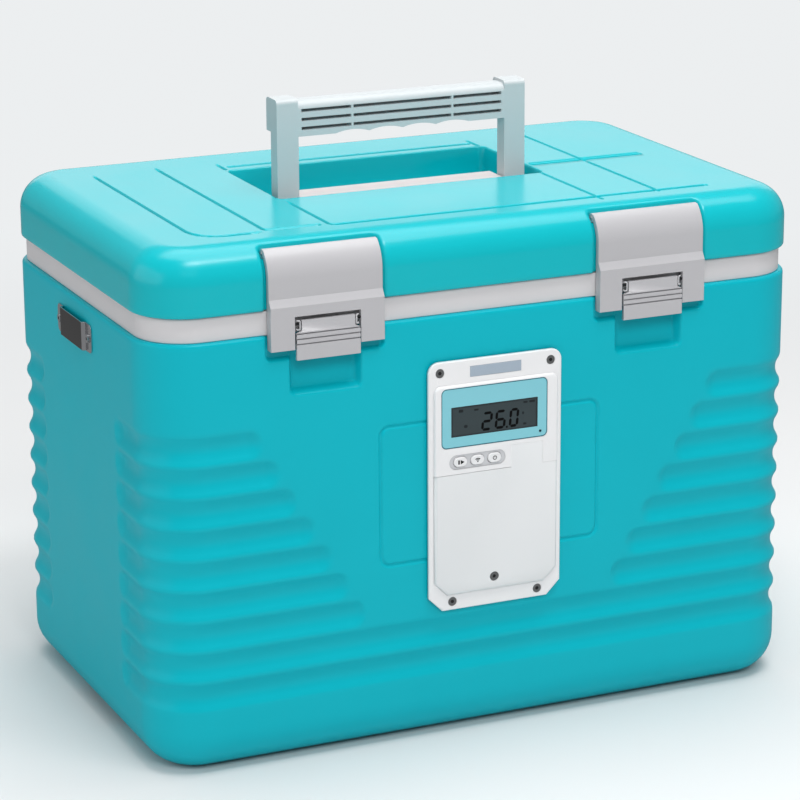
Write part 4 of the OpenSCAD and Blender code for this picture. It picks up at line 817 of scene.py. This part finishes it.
# Black: the real colour of the release pins' steel, and painted shade inside the screw sockets.
black_pins_and_socket_shade = moulded("black_pins_and_socket_shade", (34, 35, 37), (28, 29, 31), 0.5, 0.6, scale=2500, bump=0.1)
bright_steel = moulded(
    "stainless_steel", (196, 197, 200), (186, 187, 190), 0.22, 0.34, scale=2500, bump=0.06, metal=1
)
board_green = moulded("board_lacquer", (30, 104, 58), (26, 94, 50), 0.3, 0.4)
battery_sleeve = moulded("battery_sleeve", (52, 78, 140), (46, 70, 130), 0.35, 0.45)
foam_skin = moulded("foam_cells", (236, 226, 184), (226, 214, 170), 0.8, 0.95, scale=1400, bump=0.4)
finish_with(dark_steel, "housing_screws", "battery_cover_screw", "hinge_base_screws", "hinge_leaf_screws")
for number, (x, z, face) in enumerate((
    (-40.8, 270.3, FLANGE_HEAD), (44.4, 270.3, FLANGE_HEAD), (-31.4, 102.4, FLANGE_HEAD),
    (35, 102.4, FLANGE_HEAD), (0, COVER_SCREW_Z, COVER_HEAD),
)):
    turns = [math.pi * i / 3 for i in range(6)]
    hexagon = [(x + SOCKET_R * math.cos(turn), z + SOCKET_R * math.sin(turn)) for turn in turns]
    name = "screw_socket_%d" % number
    # Each socket gets a black hexagon just behind the head's face: painted shade down in the hole.
    plates(name, [hexagon], face + 1.05, face + 0.25, "tub", black_pins_and_socket_shade)
finish_with(board_green, "circuit_board")
finish_with(battery_sleeve, "battery_pack")
finish_with(foam_skin, "tub_foam", "lid_foam")
finish_with(
    bright_steel, "temperature_probe", "strap_loop_screws", "keeper_screws", "hinge_pins", "handle_pins"
)
finish_with(black_pins_and_socket_shade, "release_pin_left", "release_pin_right")

# Strap loops
# A bridge of polished steel strip on each end of the tub, held by two screws, that a carrying strap runs
# under. The outer face of the bridge carries a painted reflection: a near-black steel colour, as if it
# mirrored a dark room.
LOOP_Z, LOOP_FACE = 288, 253.35
loop_steel = moulded(
    "polished_strip", (196, 197, 200), (186, 187, 190), 0.12, 0.2, scale=3000, bump=0.02, metal=1
)
# Painted reflection: a near-black copy of the strip steel for the bridge's outer face, as if it mirrored a
# dark room.
strip_painted_reflection = moulded("strip_painted_dark_reflection", (44, 40, 40), (34, 31, 31), 0.12, 0.2, scale=3000, bump=0.02, metal=1)


def foot_corner(p):
    """True on the short upright edges at the ends of a loop's feet."""
    return abs(p.y) > 36.9 and abs(p.z - LOOP_Z) > 10.2


for side in ("left", "right"):
    loop = softened(
        "strap_loop_" + side, "loop_strip_" + side, "tub", "polished_steel", (4, 5, foot_corner),
        (0.3, 2, None)
    )
    finish_with(loop_steel, loop)
    loop.data.materials.append(strip_painted_reflection)
    # The outer faces get the painted dark reflection, the feet and the edges the plain polished steel.
    for face in loop.data.polygons:
        face.material_index = int(abs(face.center.x) > LOOP_FACE * MM and abs(face.normal.x) > 0.99)

# Latches
# Each latch is a grey moulded plate that wraps the lid's shoulder, with a sprung release tab in its lower
# part. It turns on a barrel at the shoulder and hooks under a steel keeper on the tub.
NECK_Z, NECK_HALF, TAB_TOP = 312.8, 19.4, 320.1
TAB_GROOVES, TAB_GROOVE_DEPTH = (303.6, 307.2, 310.8), 0.7
PIN_HALF, CLIP_OUT, CLIP_IN, CLIP_R = 41.6, 22.6, 20.6, 0.48
latch_plastic = moulded(
    "latch_plastic", (188, 187, 190), (183, 182, 185), 0.36, 0.42, scale=1200, specular=0.8
)
spring_steel = moulded(
    "spring_wire", (226, 226, 229), (214, 214, 217), 0.35, 0.45, scale=3000, bump=0.03, metal=0.3
)


def wire(name, points, radius, body, nodes):
    """A bent round wire through the points."""
    curve = bpy.data.curves.new(name, "CURVE")
    curve.dimensions = "3D"
    curve.bevel_depth = radius * MM
    curve.bevel_resolution = 3
    curve.use_fill_caps = True
    spline = curve.splines.new("POLY")
    spline.points.add(len(points) - 1)
    for place, point in zip(points, spline.points):
        point.co = (*[c * MM for c in place], 1)
    holder = added(name, curve)
    mesh = applied(holder)
    bpy.data.objects.remove(holder)
    mesh.shade_smooth()
    mesh.name = name
    return placed(mesh, name, body, nodes)


def tab_shape(middle):
    """Draws in a tab's neck and top edge, and sinks the floors of its three grip grooves."""
    def reshape(p):
        across = p.x - middle
        if p.z > NECK_Z:
            across = max(-NECK_HALF, min(NECK_HALF, across))
        in_groove = -161.2 < p.y < -160.6 and any(abs(p.z - z) < 0.7 for z in TAB_GROOVES)
        return middle + across, p.y + TAB_GROOVE_DEPTH * in_groove, min(p.z, TAB_TOP)
    return reshape


def pin_shape(middle):
    """Shortens a latch's pin to end inside the barrel."""
    def reshape(p):
        return middle + max(-PIN_HALF, min(PIN_HALF, p.x - middle)), p.y, p.z
    return reshape


for side, sign in (("left", -1), ("right", 1)):
    middle = sign * LATCH_X
    latch, release = "latch_" + side, "release_" + side
    keeper = softened("latch_keeper_" + side, "keeper_" + side, "tub", "steel", (0.2, 2, None))
    plate = softened(
        "latch_plate_" + side, "latch_body_" + side, latch, "latch_grey", (0.6, 3, None), turn=20
    )
    tab = softened(
        "release_tab_" + side, "tab_" + side, release, "latch_grey", (0.4, 3, None),
        reshape=tab_shape(middle)
    )
    pin = softened("latch_pin_" + side, "pivot_" + side, "lid", "steel", reshape=pin_shape(middle))
    finish_with(bright_steel, keeper)
    finish_with(latch_plastic, plate, tab, pin)
    for hand in (-1, 1):
        outer, inner = middle + hand * CLIP_OUT, middle + hand * CLIP_IN
        clip = [
            (outer, -159.2, 313.9), (outer - 0.4 * hand, -160.4, 313.6), (inner + 0.3 * hand, -160.9, 313.7),
            (inner, -161, 314.2), (inner, -161, 319.2), (inner + 0.3 * hand, -160.9, 319.8),
            (outer - 0.4 * hand, -160.4, 319.9), (outer, -159.2, 319.6),
        ]
        name = "spring_%s_%s" % (side, "inner" if hand == -sign else "outer")
        spring = wire(name, clip, CLIP_R, latch, ["release_springs_" + side])
        finish_with(spring_steel, spring)

# Hinges
# Two stamped steel hinges, screwed into recesses in the back. Each has a base leaf on the tub and a leaf on
# the lid, and both leaves are rolled round one steel pin.
for side in ("left", "right"):
    base = softened("hinge_base_" + side, "hinge_foot_" + side, "tub", "steel", (0.4, 2, None))
    leaf = softened("hinge_leaf_" + side, "hinge_flap_" + side, "lid", "steel", (0.4, 2, None))
    finish_with(bright_steel, base, leaf)

# Lid liner, seal and handle seat
# The white liner plate with its plug closes the lid's underside. A dark rubber ring seals on the band, and
# the pale block in the well carries the handle when it is folded.
lid_tray = softened("lid_liner", "lid_tray", "lid", "liner_white", (0.9, 3, None))
seal = softened("lid_seal", "seal_ring", "lid", "dark_rubber", (0.9, 3, None))
seat = softened("handle_seat", "seat_block", "lid", "seat_pale", (1.2, 3, None))
finish_with(moulded("lid_tray_plastic", (240, 240, 238), (233, 233, 231), 0.3, 0.4), lid_tray)
finish_with(gasket_rubber, seal)
finish_with(moulded("seat_plastic", (220, 212, 211), (214, 206, 205), 0.35, 0.45), seat)


# Carry handle
# One grey plastic moulding that turns on steel pins in the well. Two legs hold a grip with slots and four
# finger scallops.
def away_from_slots(p):
    """True on the legs, the heads and the grip's upper edges."""
    return abs(p.x) > 79.6 or p.z > 433


handle = softened(
    "carry_handle", "handle_moulding", "handle", "handle_grey", (2.6, 4, away_from_slots), (0.9, 3, None)
)
finish_with(moulded("handle_plastic", (200, 206, 208), (195, 201, 203), 0.36, 0.44, scale=1200), handle)

# Floor
# A pale studio floor that fades into the backdrop away from the box. Reflections see it darker, as plain
# diffuse, so that glossy pieces don't take on its full brightness.
BACKDROP = (0.84, 0.86, 0.87, 1)
floor_mesh = bpy.data.meshes.new("studio_floor")
floor_mesh.from_pydata([(-8, -8, 0), (8, -8, 0), (8, 8, 0), (-8, 8, 0)], [], [(0, 1, 2, 3)])
floor = added("studio_floor", floor_mesh)
floor_material = bpy.data.materials.new("studio_floor")
floor_material.use_nodes = True
floor_nodes, floor_links = floor_material.node_tree.nodes, floor_material.node_tree.links
floor_shader = floor_nodes["Principled BSDF"]
floor_shader.inputs["Base Color"].default_value = (0.8, 0.8, 0.8, 1)
floor_shader.inputs["Roughness"].default_value = 0.9
mirrored_floor = floor_nodes.new("ShaderNodeBsdfDiffuse")
mirrored_floor.inputs["Color"].default_value = (0.3, 0.3, 0.3, 1)
mirrored_mix = floor_nodes.new("ShaderNodeMixShader")
far_glow = floor_nodes.new("ShaderNodeEmission")
far_glow.inputs["Color"].default_value = BACKDROP
far_place = floor_nodes.new("ShaderNodeTexCoord")
far_length = floor_nodes.new("ShaderNodeVectorMath")
far_length.operation = "LENGTH"
far_fade = floor_nodes.new("ShaderNodeMapRange")
far_fade.interpolation_type = "SMOOTHSTEP"
far_fade.inputs["From Min"].default_value = 0.45
far_fade.inputs["From Max"].default_value = 1.5
far_path = floor_nodes.new("ShaderNodeLightPath")
far_seen = floor_nodes.new("ShaderNodeMath")
far_seen.operation = "MULTIPLY"
far_mix = floor_nodes.new("ShaderNodeMixShader")
floor_links.new(far_place.outputs["Object"], far_length.inputs[0])
floor_links.new(far_length.outputs["Value"], far_fade.inputs["Value"])
floor_links.new(far_fade.outputs["Result"], far_seen.inputs[0])
floor_links.new(far_path.outputs["Is Camera Ray"], far_seen.inputs[1])
floor_links.new(far_seen.outputs["Value"], far_mix.inputs["Fac"])
floor_links.new(far_path.outputs["Is Glossy Ray"], mirrored_mix.inputs["Fac"])
floor_links.new(floor_shader.outputs["BSDF"], mirrored_mix.inputs[1])
floor_links.new(mirrored_floor.outputs["BSDF"], mirrored_mix.inputs[2])
floor_links.new(mirrored_mix.outputs["Shader"], far_mix.inputs[1])
floor_links.new(far_glow.outputs["Emission"], far_mix.inputs[2])
floor_links.new(far_mix.outputs["Shader"], floor_nodes["Material Output"].inputs["Surface"])
floor.data.materials.append(floor_material)


# Studio light
# Five soft lamps: a large one overhead, a narrow strip that draws the highlight along the lid's shoulder, one
# behind, one to the left and one to the front. The sky is dim for the box and pale for the camera.
def soft_light(name, place, target, width, height, power):
    """An area lamp that looks at a target."""
    lamp = bpy.data.lights.new(name, "AREA")
    lamp.shape = "RECTANGLE"
    lamp.size, lamp.size_y = width, height
    lamp.energy = power
    light = added(name, lamp)
    light.location = place
    light.rotation_euler = (Vector(target) - Vector(place)).to_track_quat("-Z", "Y").to_euler()
    return light


soft_light("overhead", (0.2, 0.1, 2.0), (0.05, 0, 0.3), 2.0, 1.5, 27)
soft_light("strip", (0.05, -0.85, 2.0), (0, -0.1, 0.3), 0.9, 0.35, 10)
soft_light("behind", (1.1, 2.5, 1.1), (0, 0, 0.35), 3.0, 1.2, 9)
soft_light("left", (-2.4, 0.2, 0.9), (0, 0, 0.2), 3.0, 1.6, 12)
front_light = soft_light("front", (-0.5, -2.3, 2.0), (0, 0, 0.2), 1.6, 1.0, 29)
front_light.visible_glossy = False
world = bpy.data.worlds.new("studio")
bpy.context.scene.world = world
world.use_nodes = True
world_nodes, world_links = world.node_tree.nodes, world.node_tree.links
dim_sky = world_nodes["Background"]
dim_sky.inputs["Color"].default_value = (0.92, 0.94, 0.96, 1)
dim_sky.inputs["Strength"].default_value = 0.3
pale_sky = world_nodes.new("ShaderNodeBackground")
pale_sky.inputs["Color"].default_value = BACKDROP
sky_path = world_nodes.new("ShaderNodeLightPath")
sky_mix = world_nodes.new("ShaderNodeMixShader")
world_links.new(sky_path.outputs["Is Camera Ray"], sky_mix.inputs["Fac"])
world_links.new(dim_sky.outputs["Background"], sky_mix.inputs[1])
world_links.new(pale_sky.outputs["Background"], sky_mix.inputs[2])
world_links.new(sky_mix.outputs["Shader"], world_nodes["World Output"].inputs["Surface"])
bpy.context.scene.view_settings.view_transform = "Standard"
